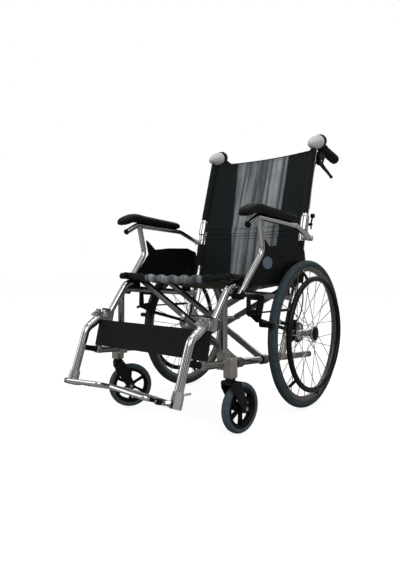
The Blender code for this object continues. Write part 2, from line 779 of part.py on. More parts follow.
def handrim(side, marker):
    """The push ring on its flat tabs."""
    center = Vector((side * HANDRIM_X, 0, WHEEL_R))
    section = [2 * pi * (k + 0.5) / 6 for k in range(6)]
    ring = turned([(HANDRIM_R + HANDRIM_TUBE_R * sin(turn), HANDRIM_TUBE_R * cos(turn)) for turn in section],
                  center, (1, 0, 0), 28)
    inner = rim_radii()[0]
    face = WHEEL_X + RIM_WIDTH / 2 + SEAT_GAP
    bent = [(face, inner + 0.0110), (face, inner + 0.0025), (HANDRIM_X - 0.0045, HANDRIM_R + 0.0010),
            (HANDRIM_X - 0.0015, HANDRIM_R + 0.0030), (face + 0.0028, inner + 0.0060), (face + 0.0028, inner + 0.0110)]
    tabs = []
    for count in range(HANDRIM_TABS):
        turn = Matrix.Rotation(2 * pi * (count + 0.25) / HANDRIM_TABS, 4, "X")
        upright = Matrix.Rotation(pi / 2, 4, "X")
        tabs.append(plate([[(side * x, r) for x, r in bent]], 0.012, Matrix.Translation(center * Vector((0, 1, 1)))
                          @ turn @ upright))
    rim = join(ring, *tabs)
    return name_piece(rim, f"handrim_{SIDES[side]}", BLACK_STEEL, marker)


def axle_and_drum(side, marker):
    """The fixed axle with the band brake's drum cover and its cable anchor."""
    near, far = DRUM_X
    nut = HUB_OUTER_X + SEAT_GAP
    seat = PLATE_X + PLATE_THICKNESS / 2 + SEAT_GAP
    profile = [(0.0, seat), (0.013, seat), (0.013, near - 0.0006), (DRUM_R, near), (DRUM_R, far),
               (AXLE_R, far + 0.0006), (AXLE_R, nut), (0.010, nut), (0.009, nut + 0.0045), (0.0, nut + 0.0060)]
    drum = turned([(radius, side * along) for radius, along in profile], (0, 0, WHEEL_R), (1, 0, 0), 16)
    anchor_y, anchor_z = cable_end()
    top = anchor_z + 0.005
    bottom = WHEEL_R + DRUM_R * 0.80
    anchor = block((far - near - 0.0006, 0.012, top - bottom), (side * (near + far) / 2, anchor_y, (top + bottom) / 2))
    return name_piece(join(drum, anchor), f"axle_and_drum_{SIDES[side]}", BLACK_STEEL, marker)


def cable_end():
    """Where the brake cable meets the drum's anchor, as (y, z)."""
    return -0.021, WHEEL_R + DRUM_R + 0.0055


# Cross brace and seat

def brace(name, start_side, arms, marker):
    """One pair of arms from a lower tube up to the opposite seat rail, with the eyes and the rail."""
    foot = Vector((start_side * FRAME_X, 0.0))
    top = Vector((-start_side * SEAT_RAIL_X, BRACE_H))
    length = (top - foot).length
    slope = atan2(top.y - foot.y, top.x - foot.x)
    pieces = []
    half = BRACE_WIDTH / 2
    section = rounded([(-half, -half), (half, -half), (half, half), (-half, half)], 0.004, radians(90))
    for y in arms:
        middle = (foot + top) / 2
        place = Matrix.Translation(brace_place(middle.x, y, middle.y)) @ RAKE_TURN
        place = place @ Matrix.Rotation(-slope, 4, "Y") @ Matrix.Rotation(pi / 2, 4, "Y")
        pieces.append(plate([section], length - 0.010, place))
        pieces.append(bar(brace_place(foot.x, y - EYE_LENGTH / 2, 0), brace_place(foot.x, y + EYE_LENGTH / 2, 0),
                          EYE_R, 12))
    pin_y = (ARMS_A[0] - 0.0125, ARMS_B[1] + 0.0125)
    pin = center_pin(pin_y)
    rail_bar = bar((top.x, SEAT_FRONT_Y, seat_rail(SEAT_FRONT_Y)), (top.x, SEAT_REAR_Y, seat_rail(SEAT_REAR_Y)),
                   SEAT_RAIL_R, 10)
    tube_hole = hole(brace_place(foot.x, -0.42, 0), brace_place(foot.x, 0.05, 0), TUBE_R)
    if start_side > 0:
        body = cut(join(rail_bar, *pieces, pin), tube_hole)
    else:
        bpy.data.objects.remove(pin, do_unlink=True)
        pin_hole = center_pin(pin_y, SEAT_GAP)
        body = cut(join(rail_bar, *pieces), tube_hole, pin_hole)
    return name_piece(body, name, ALUMINIUM, marker)


def center_height():
    return BRACE_H * FRAME_X / (FRAME_X + SEAT_RAIL_X)


def center_pin(span, gap=None):
    """The long pivot tube through all four arms, or the hole that clears it."""
    ends = [brace_place(0, y, center_height()) for y in span]
    if gap is None:
        return bar(ends[0], ends[1], BRACE_PIN_R)
    reach = (ends[1] - ends[0]) * 0.05
    return hole(ends[0] - reach, ends[1] + reach, BRACE_PIN_R, gap)


def seat_cradle(side, marker):
    """The black saddle that the seat rail's front rests in, over the front tube's end."""
    y = cradle_y(side)
    reach = 0.05
    x = side * FRAME_X
    bottom = rail(y) + 0.0040
    top = seat_rail(y) - 0.0055
    inside, outside = FRAME_X - 0.0130, SEAT_RAIL_X + SEAT_RAIL_R - 0.0002
    cradle = block((outside - inside, CRADLE_LENGTH, top - bottom),
                   (side * (inside + outside) / 2, y, (top + bottom) / 2), bevel=0.0012)
    main = hole((x, y - reach, rail(y - reach)), (x, y + reach, rail(y + reach)), TUBE_R)
    seat_x = side * SEAT_RAIL_X
    groove = hole((seat_x, y - reach, seat_rail(y - reach)), (seat_x, y + reach, seat_rail(y + reach)), SEAT_RAIL_R)
    return name_piece(cut(cradle, main, front_tube(side, SEAT_GAP), groove), f"seat_cradle_{SIDES[side]}", BLACK_PLASTIC, marker)


def grid_sheet(columns, rows, shape, thickness):
    """A cloth sheet: a grid whose points the shape function places, given a thickness on both sides."""
    work = bmesh.new()
    bmesh.ops.create_grid(work, x_segments=columns, y_segments=rows, size=1.0)
    for vert in work.verts:
        vert.co = shape(vert.co.x, (vert.co.y + 1) / 2)
    sheet = from_bmesh(work)
    skin = sheet.modifiers.new("thickness", "SOLIDIFY")
    skin.thickness = thickness
    skin.offset = 0.0
    return bake(sheet)


def seat_sling(marker):
    """The hung seat: over both rails, sagging between them, gathered in pleats behind its front hem."""
    lie = SEAT_RAIL_R + CLOTH / 2 + 0.0010
    leave = radians(112)
    edge = radians(12)
    flat_x = SEAT_RAIL_X + lie * cos(leave)
    half_columns, wrap_columns = 13, 4
    flat_share = 1 - wrap_columns / half_columns
    front, rear = SEAT_FRONT_Y + 0.012, SEAT_REAR_Y - 0.008
    hem = 0.0115

    def shape(across, back):
        side = 1 if across >= 0 else -1
        share = abs(across)
        y = front + (rear - front) * back
        if share <= flat_share + 0.001:
            reach = share / flat_share
            x = reach * flat_x
            sag = SEAT_SAG * (1 - reach ** 2.2) * (1 - 0.25 * back)
            pleat = SEAT_PLEAT_DEPTH * cos(pi * SEAT_PLEATS * reach) * (1 - back) * (1 - reach ** 4)
            height = lie * sin(leave) - sag + pleat
            roll = hem * (1 - reach ** 6)
        else:
            angle = leave + (edge - leave) * (share - flat_share) / (1 - flat_share)
            x = SEAT_RAIL_X + lie * cos(angle)
            height = lie * sin(angle)
            roll = 0.0
        if back < 0.02:
            return Vector((side * x, y + roll * 0.7, seat_rail(y) + height - roll * 1.3))
        if back < 0.20:
            return Vector((side * x, y - 0.020 * (roll / hem), seat_rail(y) + height - roll * 0.5))
        return Vector((side * x, y, seat_rail(y) + height))

    sheet = grid_sheet(2 * half_columns, 6, shape, CLOTH)
    return name_piece(sheet, "seat_sling", GREY_CLOTH, marker)


# Folding back

def sling_band(place, x, hole_r, height, thickness=CLOTH):
    """A sheet between two canes with a sleeve around each, drawn in plan and raised by its height."""
    sleeve_r = hole_r + thickness
    steps = 8
    start = 0.16
    bow = [(x * (1 - 2 * k / steps), SLING_BOW * (1 - (1 - 2 * k / steps) ** 2)) for k in range(1, steps)]
    front = [(px, py - thickness / 2) for px, py in bow]
    rear = [(px, py + thickness / 2) for px, py in reversed(bow)]
    turns = [start + (2 * pi - 2 * start) * k / 10 for k in range(11)]
    right = [(-x + sleeve_r * cos(a), sleeve_r * sin(a)) for a in [-angle for angle in turns]]
    left = [(x - sleeve_r * cos(a), -sleeve_r * sin(a)) for a in [-angle for angle in turns]]
    outline = front + right + rear + left
    return plate([outline, circle((x, 0), hole_r / cos(pi / 12), 12), circle((-x, 0), hole_r / cos(pi / 12), 12)],
                 height, place)


def sling_sheet(place, x, height, thickness=CLOTH):
    """A plain sheet between the canes, bowed like the band above or below it."""
    steps = 8
    bow = [(x * (1 - 2 * k / steps), SLING_BOW * (1 - (1 - 2 * k / steps) ** 2)) for k in range(steps + 1)]
    bow = [(px, py * 0.94 + 0.0014) for px, py in bow]
    front = [(px, py - thickness / 2) for px, py in bow]
    rear = [(px, py + thickness / 2) for px, py in reversed(bow)]
    return plate([front + rear], height, place)


def sling(name, foot, lean, cane_r, x, spans, marker):
    """A back sling: its plain sheet and its sleeved band, given as (from, to) along the canes."""
    turn = Matrix.Rotation(-lean, 4, "X")
    pieces = []
    for kind, (start, end) in spans:
        middle = foot + (turn @ Vector((0, 0, (start + end) / 2)))
        place = Matrix.Translation(middle) @ turn
        if kind == "band":
            pieces.append(sling_band(place, x, cane_r + SEAT_GAP, end - start))
        else:
            pieces.append(sling_sheet(place, x - 0.0175, end - start))
    return name_piece(join(*pieces), name, BLACK_CLOTH, marker)


def lower_sling(marker):
    lean = atan2(CANE_TOP[0] - CANE_BEND[0], CANE_TOP[1] - CANE_BEND[1])
    length = hypot(CANE_TOP[0] - CANE_BEND[0], CANE_TOP[1] - CANE_BEND[1])
    start, end = 0.022, length - 0.040
    middle_x = cane_x(FRAME_Z + CANE_BEND[1] + (start + end) / 2 * cos(lean))
    slack = (end - start) / 2 * (CANE_TOP_X - FRAME_X) / (CANE_TOP[1] - CANE_FOOT[1]) + 0.0002
    foot = Vector((0, CANE_BEND[0], FRAME_Z + CANE_BEND[1]))
    spans = [("band", (start, end)), ("sheet", (-0.034, length - 0.004))]
    return sling("back_sling_lower", foot, lean, CANE_R + slack, middle_x, spans, marker)


def upper_sling(marker):
    top = BACK_HEIGHT / cos(BACK_LEAN) - SLING_TOP_GAP
    foot = back_place(1, 0.0, x=0.0)
    spans = [("band", (SLEEVE_LENGTH + 0.006, top)), ("sheet", (0.018, SLEEVE_LENGTH + 0.016))]
    return sling("back_sling_upper", foot, BACK_LEAN, CANE_R + 0.0004, BACK_X, spans, marker)


def handle_line(side):
    """The upper cane's tube from the hinge sleeve up, round the elbow and back into the grip."""
    return [back_place(side, 0.004), grip_place(side, 0.0), grip_place(side, GRIP_END - 0.010)]


def upper_cane(side, marker):
    cane = tube(handle_line(side), CANE_R, 0.035)
    return name_piece(cane, f"upper_cane_{SIDES[side]}", ALUMINIUM, marker)


def cane_clearance(side):
    """The tool that leaves room for the upper cane's tube."""
    return tube(handle_line(side), outer(CANE_R, SEAT_GAP, 10), 0.035)


def hinge_sleeve(side, marker):
    """The bright sleeve round the cane's foot, with the tongue that turns between the frame's lugs."""
    x = side * BACK_X
    sleeve = bar(back_place(side, 0.0020), back_place(side, SLEEVE_LENGTH), SLEEVE_R, 12)
    y, h = HINGE_POINT
    z = FRAME_Z + h
    outline = [(y - 0.0072, z - 0.002), (y - 0.002, z - 0.0072), (y + 0.0055, z - 0.004), (y + 0.0072, z + 0.002),
               (y + 0.008, z + 0.034), (y - 0.006, z + 0.034), (y - 0.0062, z + 0.008)]
    tongue = plate([rounded(outline, 0.0025, radians(45))], 0.0085, side_plane(x))
    pin = hole(at(side, BACK_X - 0.02, HINGE_POINT), at(side, BACK_X + 0.02, HINGE_POINT), 0.0030)
    along, out, lever_x = release_point()
    boss_x = lever_x - 0.0100
    boss = bar(back_place(side, along, 0.010, boss_x), back_place(side, along, out + 0.004, boss_x), 0.0045)
    body = join(sleeve, tongue, boss)
    body = cut(body, pin, cane_clearance(side))
    return name_piece(body, f"hinge_sleeve_{SIDES[side]}", ALUMINIUM, marker)


def release_point():
    """The release lever's pivot, as (along the cane, behind it, x)."""
    return 0.032, 0.0215, BACK_X + 0.0160


def hinge_release(side, marker):
    """The black lever with its finger knob on the side of the hinge sleeve."""
    along, out, x = release_point()
    hub = bar(back_place(side, along, out, x - 0.0050), back_place(side, along, out, x + 0.0040), 0.0060)
    arm = bar(back_place(side, along, out, x), back_place(side, along + 0.034, out + 0.004, x), 0.0035, 6)
    knob = bar(back_place(side, along + 0.034, out + 0.004, x - 0.005),
               back_place(side, along + 0.034, out + 0.004, x + 0.006), 0.0085)
    tail = bar(back_place(side, along, out, x), back_place(side, along - 0.016, out + 0.007, x), 0.0030, 6)
    return name_piece(join(hub, arm, knob, tail), f"hinge_release_{SIDES[side]}", BLACK_PLASTIC, marker)


def push_grip(side, marker):
    """The handle's rubber grip with the brake lever's bracket under its front."""
    start = GRIP_END - GRIP_LENGTH
    grow = 1 / cos(pi / 12)
    axis = grip_place(side, 1.0) - grip_place(side, 0.0)
    profile = [(0.0, start), (GRIP_R + 0.002, start), (GRIP_R + 0.002, start + 0.007),
               (GRIP_R - 0.0008, start + 0.010), (GRIP_R, GRIP_END - 0.006), (GRIP_R - 0.003, GRIP_END),
               (0.0, GRIP_END)]
    body = turned([(radius * grow, along) for radius, along in profile], grip_place(side, 0.0), axis, 12)
    outline = [(start - 0.028, -0.022), (start + 0.012, -0.010), (start + 0.012, -0.034), (start - 0.002, -0.068),
               (start - 0.030, -0.070), (start - 0.034, -0.034)]
    turn = side_plane(0.0) @ Matrix.Rotation(-GRIP_DROP, 4, "Z")
    place = Matrix.Translation(grip_place(side, 0.0)) @ turn
    bracket = plate([rounded(outline, 0.004, radians(60))], 0.016, place)
    slot = block((0.0090, 0.060, 0.030), grip_place(side, start + 0.004, -0.061), Matrix.Rotation(-GRIP_DROP, 4, "X"))
    bracket = trim(bracket, slot)
    pivot = lever_pivot(side)
    pin = bar(pivot - Vector((0.0090, 0, 0)), pivot + Vector((0.0090, 0, 0)), 0.0025)
    cap_room = grip_cap_shape(side, SEAT_GAP)
    grip = cut(join(body, bracket, pin), cane_clearance(side), cap_room)
    return name_piece(grip, f"push_grip_{SIDES[side]}", BLACK_PLASTIC, marker)


def lever_pivot(side):
    return grip_place(side, GRIP_END - GRIP_LENGTH - 0.014, -0.056)


def grip_cap_shape(side, grow=0.0):
    """The elbow cap's egg shape, longest along the grip."""
    half = CAP_LENGTH / 2
    steps = 8
    profile = []
    for count in range(steps + 1):
        turn = pi * count / steps
        swell = 1.0 + 0.06 * cos(turn)
        profile.append(((CAP_R * sin(turn) * swell + grow) if 0 < count < steps else 0.0,
                        -cos(turn) * (half + grow) + 0.005))
    axis = grip_place(side, 1.0) - grip_place(side, 0.0)
    return turned(profile, grip_place(side, 0.0), axis, 14)


def grip_cap(side, marker):
    front_cut = block((0.08, 0.04, 0.08), grip_place(side, GRIP_END - GRIP_LENGTH + 0.0197),
                      Matrix.Rotation(-GRIP_DROP, 4, "X"))
    cap = cut(grip_cap_shape(side), cane_clearance(side), front_cut)
    return name_piece(cap, f"grip_cap_{SIDES[side]}", PALE_PLASTIC, marker)


def brake_lever(side, marker):
    pivot = lever_pivot(side)
    route = [pivot, pivot + Vector((0, 0.030, -0.016)), pivot + Vector((0, 0.066, -0.024)),
             pivot + Vector((0, 0.104, -0.044))]
    blade = tube(route, 0.0038, 0.020, sides=6)
    hub = bar(pivot - Vector((0.0040, 0, 0)), pivot + Vector((0.0040, 0, 0)), 0.0070)
    tip = turned([(0.0, -0.0055), (0.0048, -0.003), (0.0048, 0.003), (0.0, 0.0055)], route[-1], (1, 0, 0), 8)
    bore = hole(pivot - Vector((0.01, 0, 0)), pivot + Vector((0.01, 0, 0)), 0.0025)
    return name_piece(cut(join(blade, hub, tip), bore), f"brake_lever_{SIDES[side]}", BLACK_STEEL, marker)


def brake_cable(side, marker):
    """The brake cable, down the rear of the cane to the drum."""
    x = BACK_X + 0.0005
    top = grip_place(side, GRIP_END - GRIP_LENGTH - 0.0385, -0.055)
    cable_r = 0.0023
    beside = CANE_R + CLOTH + cable_r + 0.0016
    points = [top, back_place(side, 0.250, beside + 0.001, x), back_place(side, 0.170, beside, x),
              back_place(side, 0.095, beside + 0.002, x), back_place(side, 0.062, beside + 0.003, x - 0.010),
              back_place(side, 0.030, beside + 0.009, x - 0.016), back_place(side, -0.015, beside + 0.009, x - 0.017),
              *[at(side, FRAME_X + out, point)
                for out, point in ((0.0030, (0.052, 0.360)), (0.0105, (0.036, 0.290)), (0.0165, (0.032, 0.245)),
                                   (0.0190, (0.031, 0.200)), (0.0187, (0.018, 0.158)))]]
    end_y, end_z = cable_end()
    end = Vector((side * sum(DRUM_X) / 2, end_y + 0.0060 + SEAT_GAP, end_z))
    points += [end + Vector((side * 0.001, 0.012, 0.004)), end + Vector((0, 0.004, 0)), end]
    cable = tube(smooth_route(points, 2), cable_r, sides=6)
    return name_piece(cable, f"brake_cable_{SIDES[side]}", BLACK_PLASTIC, marker)


def smooth_route(points, pieces):
    """A smooth curve through the given points."""
    points = [Vector(point) for point in points]
    ends = [points[0] * 2 - points[1], *points, points[-1] * 2 - points[-2]]
    route = []
    for before, start, end, after in zip(ends, ends[1:], ends[2:], ends[3:]):
        for count in range(pieces):
            t = count / pieces
            route.append(0.5 * ((2 * start) + (end - before) * t + (2 * before - 5 * start + 4 * end - after) * t ** 2
                                + (3 * start - before - 3 * end + after) * t ** 3))
    return route + [points[-1]]


# Armrests

def armrest_frame(side, marker):
    top = [at(side, ARM_X + 0.001, ARM_STUB), at(side, ARM_X + 0.001, ARM_FRONT), at(side, ARM_X, ARM_REAR),
           at(side, ARM_X, ARM_PIVOT)]
    post = [at(side, ARM_X + 0.001, ARM_POST_TOP), at(side, ARM_X - 0.0027, ARM_KNEE), at(side, ARM_FOOT_X, ARM_FOOT)]
    boss = bar(arm_center(side, ARM_X - ARM_BOSS_HALF), arm_center(side, ARM_X + ARM_BOSS_HALF), 0.0105)
    bend = radians(30)
    frame = join(tube(top, ARM_TUBE_R, 0.030, step=bend), tube(post, ARM_TUBE_R, 0.040, step=bend), boss)
    bore = hole(arm_center(side, ARM_X - 0.05), arm_center(side, ARM_X + 0.05), ARM_PIN_R)
    return name_piece(cut(frame, bore), f"armrest_frame_{SIDES[side]}", ALUMINIUM, marker)


def arm_top(y):
    """The height of the armrest tube's upper side under the pad."""
    share = (y - ARM_FRONT[0]) / (ARM_REAR[0] - ARM_FRONT[0])
    return FRAME_Z + ARM_FRONT[1] + (ARM_REAR[1] - ARM_FRONT[1]) * share + ARM_TUBE_R


def armrest_pad(side, marker):
    """The moulded pad: crowned, drawn in at its sides, with a nose that droops over the tube's stub."""
    base = SEAT_GAP - 0.0007
    stations = [(-0.394, -0.0100, 0.012, 0.0120), (-0.382, -0.0165, 0.021, 0.0195), (-0.354, -0.0100, 0.0315, 0.0226),
                (-0.322, 0.0, 0.0315, 0.0230), (-0.270, 0.0, 0.029, 0.0226), (-0.180, 0.0, 0.0265, 0.0222),
                (-0.095, 0.0, 0.0240, 0.0212), (-0.083, 0.0045, 0.0175, 0.0145)]
    rings = []
    for y, low_h, high_h, half in stations:
        bottom, top = arm_top(y) + base + low_h, arm_top(y) + base + high_h
        middle = (bottom + top) / 2
        section = [(-0.80, bottom), (0.80, bottom), (1.0, middle), (0.84, top - (top - middle) * 0.30), (0.40, top),
                   (-0.40, top), (-0.84, top - (top - middle) * 0.30), (-1.0, middle)]
        rings.append([Vector((side * PAD_X + half * wide, y, z)) for wide, z in section])
    pad = loft(rings)
    soften = pad.modifiers.new("soften", "SUBSURF")
    soften.levels = 1
    soften.render_levels = 1
    pad = bake(pad)
    stub = tube([at(side, ARM_X + 0.001, ARM_STUB) + Vector((0, -0.010, -0.005)), at(side, ARM_X + 0.001, ARM_FRONT),
                 (side * ARM_X, ARM_REAR[0], FRAME_Z + ARM_REAR[1])], outer(ARM_TUBE_R, SEAT_GAP, 10), 0.030)
    return name_piece(cut(pad, stub), f"armrest_pad_{SIDES[side]}", PAD_VINYL, marker)


def armrest_saddle(side, marker):
    """The open saddle on the frame's outer side that holds the foot of the armrest's post."""
    foot = at(side, ARM_FOOT_X, ARM_FOOT)
    lean = atan2(ARM_KNEE[0] - ARM_FOOT[0], ARM_KNEE[1] - ARM_FOOT[1])
    lift = Matrix.Translation((0, foot.y, foot.z)) @ Matrix.Rotation(-lean, 4, "X")
    across = lift @ Matrix.Rotation(pi / 2, 4, "X")
    wall = 0.0025
    inner = ARM_FOOT_X - ARM_TUBE_R - 0.0008
    outside = ARM_FOOT_X + ARM_TUBE_R + 0.0016
    floor, top = -0.0008, 0.0125
    trough = [(FRAME_X + 0.002, floor - 0.007), (outside + wall, floor - 0.005), (outside + wall, top),
              (outside, top), (outside, floor), (inner, floor), (inner, top), (inner - wall, top),
              (inner - wall, 0.0080), (FRAME_X + 0.002, 0.0080)]
    body = plate([[(side * x, z) for x, z in trough]], 0.022, across)
    back = block((outside - inner + wall, 0.0030, top - floor + 0.002), (0, 0, 0))
    back.matrix_world = lift @ Matrix.Translation((side * (inner + outside) / 2, ARM_TUBE_R + 0.0025,
                                                   (top + floor) / 2 - 0.0015))
    bpy.context.view_layer.update()
    y = foot.y
    x = side * FRAME_X
    front = front_tube(side, SEAT_GAP)
    bend = tube([(x, UPRIGHT_Y, low(UPRIGHT_Y)), (x, UPRIGHT_Y, rail(UPRIGHT_Y)), (x, y + 0.1, rail(y + 0.1))],
                outer(TUBE_R, SEAT_GAP, 10), UPRIGHT_BEND)
    saddle = cut(join(body, bake(back)), front, bend)
    return name_piece(saddle, f"armrest_saddle_{SIDES[side]}", BLACK_PLASTIC, marker)


def skirt_guard(side, marker):
    """The moulded side panel behind the armrest's post, with a bare round badge."""
    lean = hypot(ARM_KNEE[0] - ARM_FOOT[0], ARM_KNEE[1] - ARM_FOOT[1]) / (ARM_KNEE[1] - ARM_FOOT[1])
    beside = (ARM_TUBE_R + SEAT_GAP + 0.0003)
    slope = (ARM_KNEE[0] - ARM_FOOT[0]) / (ARM_KNEE[1] - ARM_FOOT[1])
    bottom = ARM_FOOT[1] + GUARD_OVER_SADDLE
    foot_y = ARM_FOOT[0] + slope * (bottom - ARM_FOOT[1]) + beside * lean
    tip_h = 0.417
    tip_y = ARM_KNEE[0] + (ARM_POST_TOP[0] - ARM_KNEE[0]) * (tip_h - ARM_KNEE[1]) / (ARM_POST_TOP[1] - ARM_KNEE[1])
    outline = [(foot_y, bottom), (ARM_KNEE[0] + beside * lean * 1.02, ARM_KNEE[1]), (tip_y + beside * 1.06, tip_h),
               (tip_y + beside + 0.014, tip_h - 0.006), (-0.225, 0.381), (-0.150, 0.3885), (-0.036, 0.391),
               (0.018, 0.376), (0.028, 0.330), (0.008, bottom)]
    panel = plate([[(y, FRAME_Z + h) for y, h in outline]], GUARD_THICKNESS, side_plane(side * GUARD_X))
    badge_at = at(side, GUARD_X, (-0.218, 0.329))
    out = Vector((side, 0, 0))
    badge = bar(badge_at, badge_at + out * (GUARD_THICKNESS / 2 + 0.0014), BADGE_R, 16)
    rib_line = [at(side, GUARD_X + GUARD_THICKNESS / 2, point)
                for point in ((0.012, 0.367), (-0.060, 0.345), (-0.120, bottom + 0.041), (-0.150, bottom + 0.009))]
    rib = tube(rib_line, 0.0020, 0.060, sides=8)
    return name_piece(join(panel, badge, rib), f"skirt_guard_{SIDES[side]}", BLACK_PLASTIC, marker)


# Wheel locks

def shoe_place():
    """The shoe's centre, just off the tyre, as (y, z)."""
    z = FRAME_Z + LOCK_PIVOT[1] - SHOE_DROP
    reach = WHEEL_R / cos(pi / 48) + SHOE_R + SHOE_GAP
    return -sqrt(reach ** 2 - (z - WHEEL_R) ** 2), z


def wheel_lock_plate(side, marker):
    outline = [(-0.324, 0.232), (-0.228, 0.224), (-0.226, 0.206), (-0.246, 0.150), (-0.268, 0.141),
               (-0.298, 0.160), (-0.326, 0.170)]
    window = [(-0.306, 0.215), (-0.262, 0.211), (-0.272, 0.184), (-0.304, 0.182)]
    rim = rounded(outline, 0.006, radians(60))
    lift = [[(y, FRAME_Z + h) for y, h in rim], [(y, FRAME_Z + h) for y, h in window]]
    body = plate(lift, LOCK_PLATE, side_plane(side * LOCK_X))
    pivot = at(side, 0, LOCK_PIVOT)
    pin = bar((side * LOCK_X, pivot.y, pivot.z), (side * (LOCK_X + 0.0137), pivot.y, pivot.z), 0.0035)
    boss = bar((side * LOCK_X, pivot.y, pivot.z), (side * (LOCK_X + 0.0060), pivot.y, pivot.z), 0.0085)
    drum_y = -(DRUM_R + SEAT_GAP + 0.0004)
    torque_x = LOCK_X + LOCK_PLATE / 2 + 0.0018
    start = Vector((side * torque_x, -0.262, FRAME_Z + 0.150))
    end = Vector((side * torque_x, drum_y, WHEEL_R + 0.006))
    run = end - start
    torque = block((0.0040, run.length, 0.012), (0, 0, 0))
    torque.matrix_world = (Matrix.Translation((start + end) / 2)
                           @ Matrix.Rotation(atan2(run.z, run.y), 4, "X"))
    bpy.context.view_layer.update()
    torque = bake(torque)
    stay_z = FRAME_Z + 0.168
    stay = bar((side * LOCK_X, -0.250, stay_z + 0.004), (side * LOCK_X, -0.0565, stay_z), 0.0030, 8)
    sleeve = bar((side * LOCK_X, -0.150, stay_z + 0.0020), (side * LOCK_X, -0.070, stay_z + 0.0003), 0.0050, 8)
    drum_room = hole((side * (DRUM_X[0] - 0.03), 0, WHEEL_R), (side * (DRUM_X[1] + 0.03), 0, WHEEL_R), DRUM_R, SEAT_GAP, 16)
    cane_room = tube(cane_line(side), outer(CANE_R, SEAT_GAP, 10), 0.060)
    lock = cut(join(body, boss, pin, torque, stay, sleeve), drum_room, cane_room)
    return name_piece(lock, f"wheel_lock_plate_{SIDES[side]}", BLACK_STEEL, marker)


def wheel_lock_lever(side, marker):
    pivot = at(side, 0, LOCK_PIVOT)
    x = LOCK_X + 0.0088
    inside, outside = x - 0.0022, x + 0.0022
    hub = bar((side * inside, pivot.y, pivot.z), (side * outside, pivot.y, pivot.z), 0.0095, 10)
    shoe_y, shoe_z = shoe_place()
    arm = plate([rounded([(pivot.y - 0.007, pivot.z), (pivot.y + 0.007, pivot.z + 0.002),
                          (shoe_y + 0.005, shoe_z + 0.001), (shoe_y - 0.006, shoe_z - 0.003)], 0.002)],
                outside - inside - 0.0004, side_plane(side * x))
    shoe = bar((side * inside, shoe_y, shoe_z), (side * (WHEEL_X + TYRE_WIDTH / 2 + 0.001), shoe_y, shoe_z), SHOE_R)
    tip = Vector((side * x, pivot.y - 0.056, pivot.z + 0.011))
    rod = tube([(side * x, pivot.y - 0.003, pivot.z + 0.002), (side * x, pivot.y - 0.030, pivot.z + 0.012), tip],
               0.0028, sides=6)
    ball = turned([(0.0, -0.0058), (0.0052, -0.003), (0.0052, 0.003), (0.0, 0.0058)], tip, (1, 0, 0), 8)
    bore = hole((side * (x - 0.01), pivot.y, pivot.z), (side * (x + 0.01), pivot.y, pivot.z), 0.0035)
    lever = cut(join(hub, arm, shoe, rod, ball), bore)
    return name_piece(lever, f"wheel_lock_lever_{SIDES[side]}", BLACK_PLASTIC, marker)


# Footrests

def hanger(side, marker):
    """The swing-away hanger: its head turns on the post, its stop meets the post's foot."""
    ring = bar(post_place(side, -HEAD_HEIGHT / 2), post_place(side, HEAD_HEIGHT / 2), HEAD_R, 12)
    start = socket_start(side)
    bend = at(side, FRAME_X - 0.0015, HANGER_BEND)
    foot = at(side, HANGER_FOOT_X, HANGER_FOOT)
    body = tube([start, bend, foot], HANGER_R, 0.040)
    socket = bar(start, start + (bend - start) * 0.60, SOCKET_R, 10)
    tall = HEAD_HEIGHT / 2 - 0.0002
    cheek = [(-0.004, tall), (-0.0300, tall), (-0.0410, -0.002), (-0.0340, -0.021), (-0.0175, -0.0215),
             (-0.0165, -tall), (-0.004, -tall)]
    place = Matrix.Translation(post_place(side)) @ side_plane(0.0) @ Matrix.Rotation(-POST_LEAN, 4, "Z")
    neck = plate([cheek], 0.0190, place)
    stop = bar(post_place(side, STOP_ALONG, -(POST_R + 0.0008)), post_place(side, STOP_ALONG, -0.0720), 0.0085)
    pivot = latch_pivot(side)
    ears = [block((0.0024, 0.009, 0.014), pivot + Vector((offset, 0.001, -0.004))) for offset in (-0.0075, 0.0075)]
    pin = bar(pivot - Vector((0.0095, 0, 0)), pivot + Vector((0.0095, 0, 0)), 0.0019, 6)
    post_hole = hole(post_place(side, -0.03), post_place(side, 0.03), POST_R, RUN_GAP)
    strap_room = hole(post_place(side, -0.06), post_place(side, -HEAD_HEIGHT / 2 - 0.001), POST_R + CLOTH, 0.0020)
    frame = cut(join(body, socket, ring, neck, stop, *ears, pin), post_hole, strap_room)
    return name_piece(frame, f"hanger_{SIDES[side]}", ALUMINIUM, marker)


def socket_start(side):
    """The upper end of the hanger's socket, in front of the knuckle."""
    return post_place(side, -0.0147, -0.0236)


def latch_pivot(side):
    return post_place(side, 0.0120, -0.0300)


def hanger_latch(side, marker):
    """The small release loop on top of the socket."""
    pivot = latch_pivot(side)
    barrel = bar(pivot - Vector((0.0055, 0, 0)), pivot + Vector((0.0055, 0, 0)), 0.0042)
    slope = radians(30)
    reach = 0.0165
    middle = pivot + Vector((0, -reach * cos(slope), -reach * sin(slope)))
    turn = Matrix.Translation(middle) @ Matrix.Rotation(slope, 4, "X")
    loop = rounded([(-0.0085, -0.014), (0.0085, -0.014), (0.0050, 0.0155), (-0.0050, 0.0155)], 0.004, radians(45))
    window = rounded([(-0.0050, -0.0105), (0.0050, -0.0105), (0.0030, 0.005), (-0.0030, 0.005)], 0.002, radians(90))
    tab = plate([loop, window], 0.0030, turn)
    bore = hole(pivot - Vector((0.01, 0, 0)), pivot + Vector((0.01, 0, 0)), 0.0019, sides=8)
    return name_piece(cut(join(barrel, tab), bore), f"hanger_latch_{SIDES[side]}", CHROME, marker)


def plate_axis():
    """The footplate's hinge line: level across the chair's side, rising to the front."""
    return Vector((0, cos(PLATE_SLOPE), -sin(PLATE_SLOPE)))


def plate_hinge(side):
    return at(side, PLATE_HINGE_X, PLATE_CENTER)


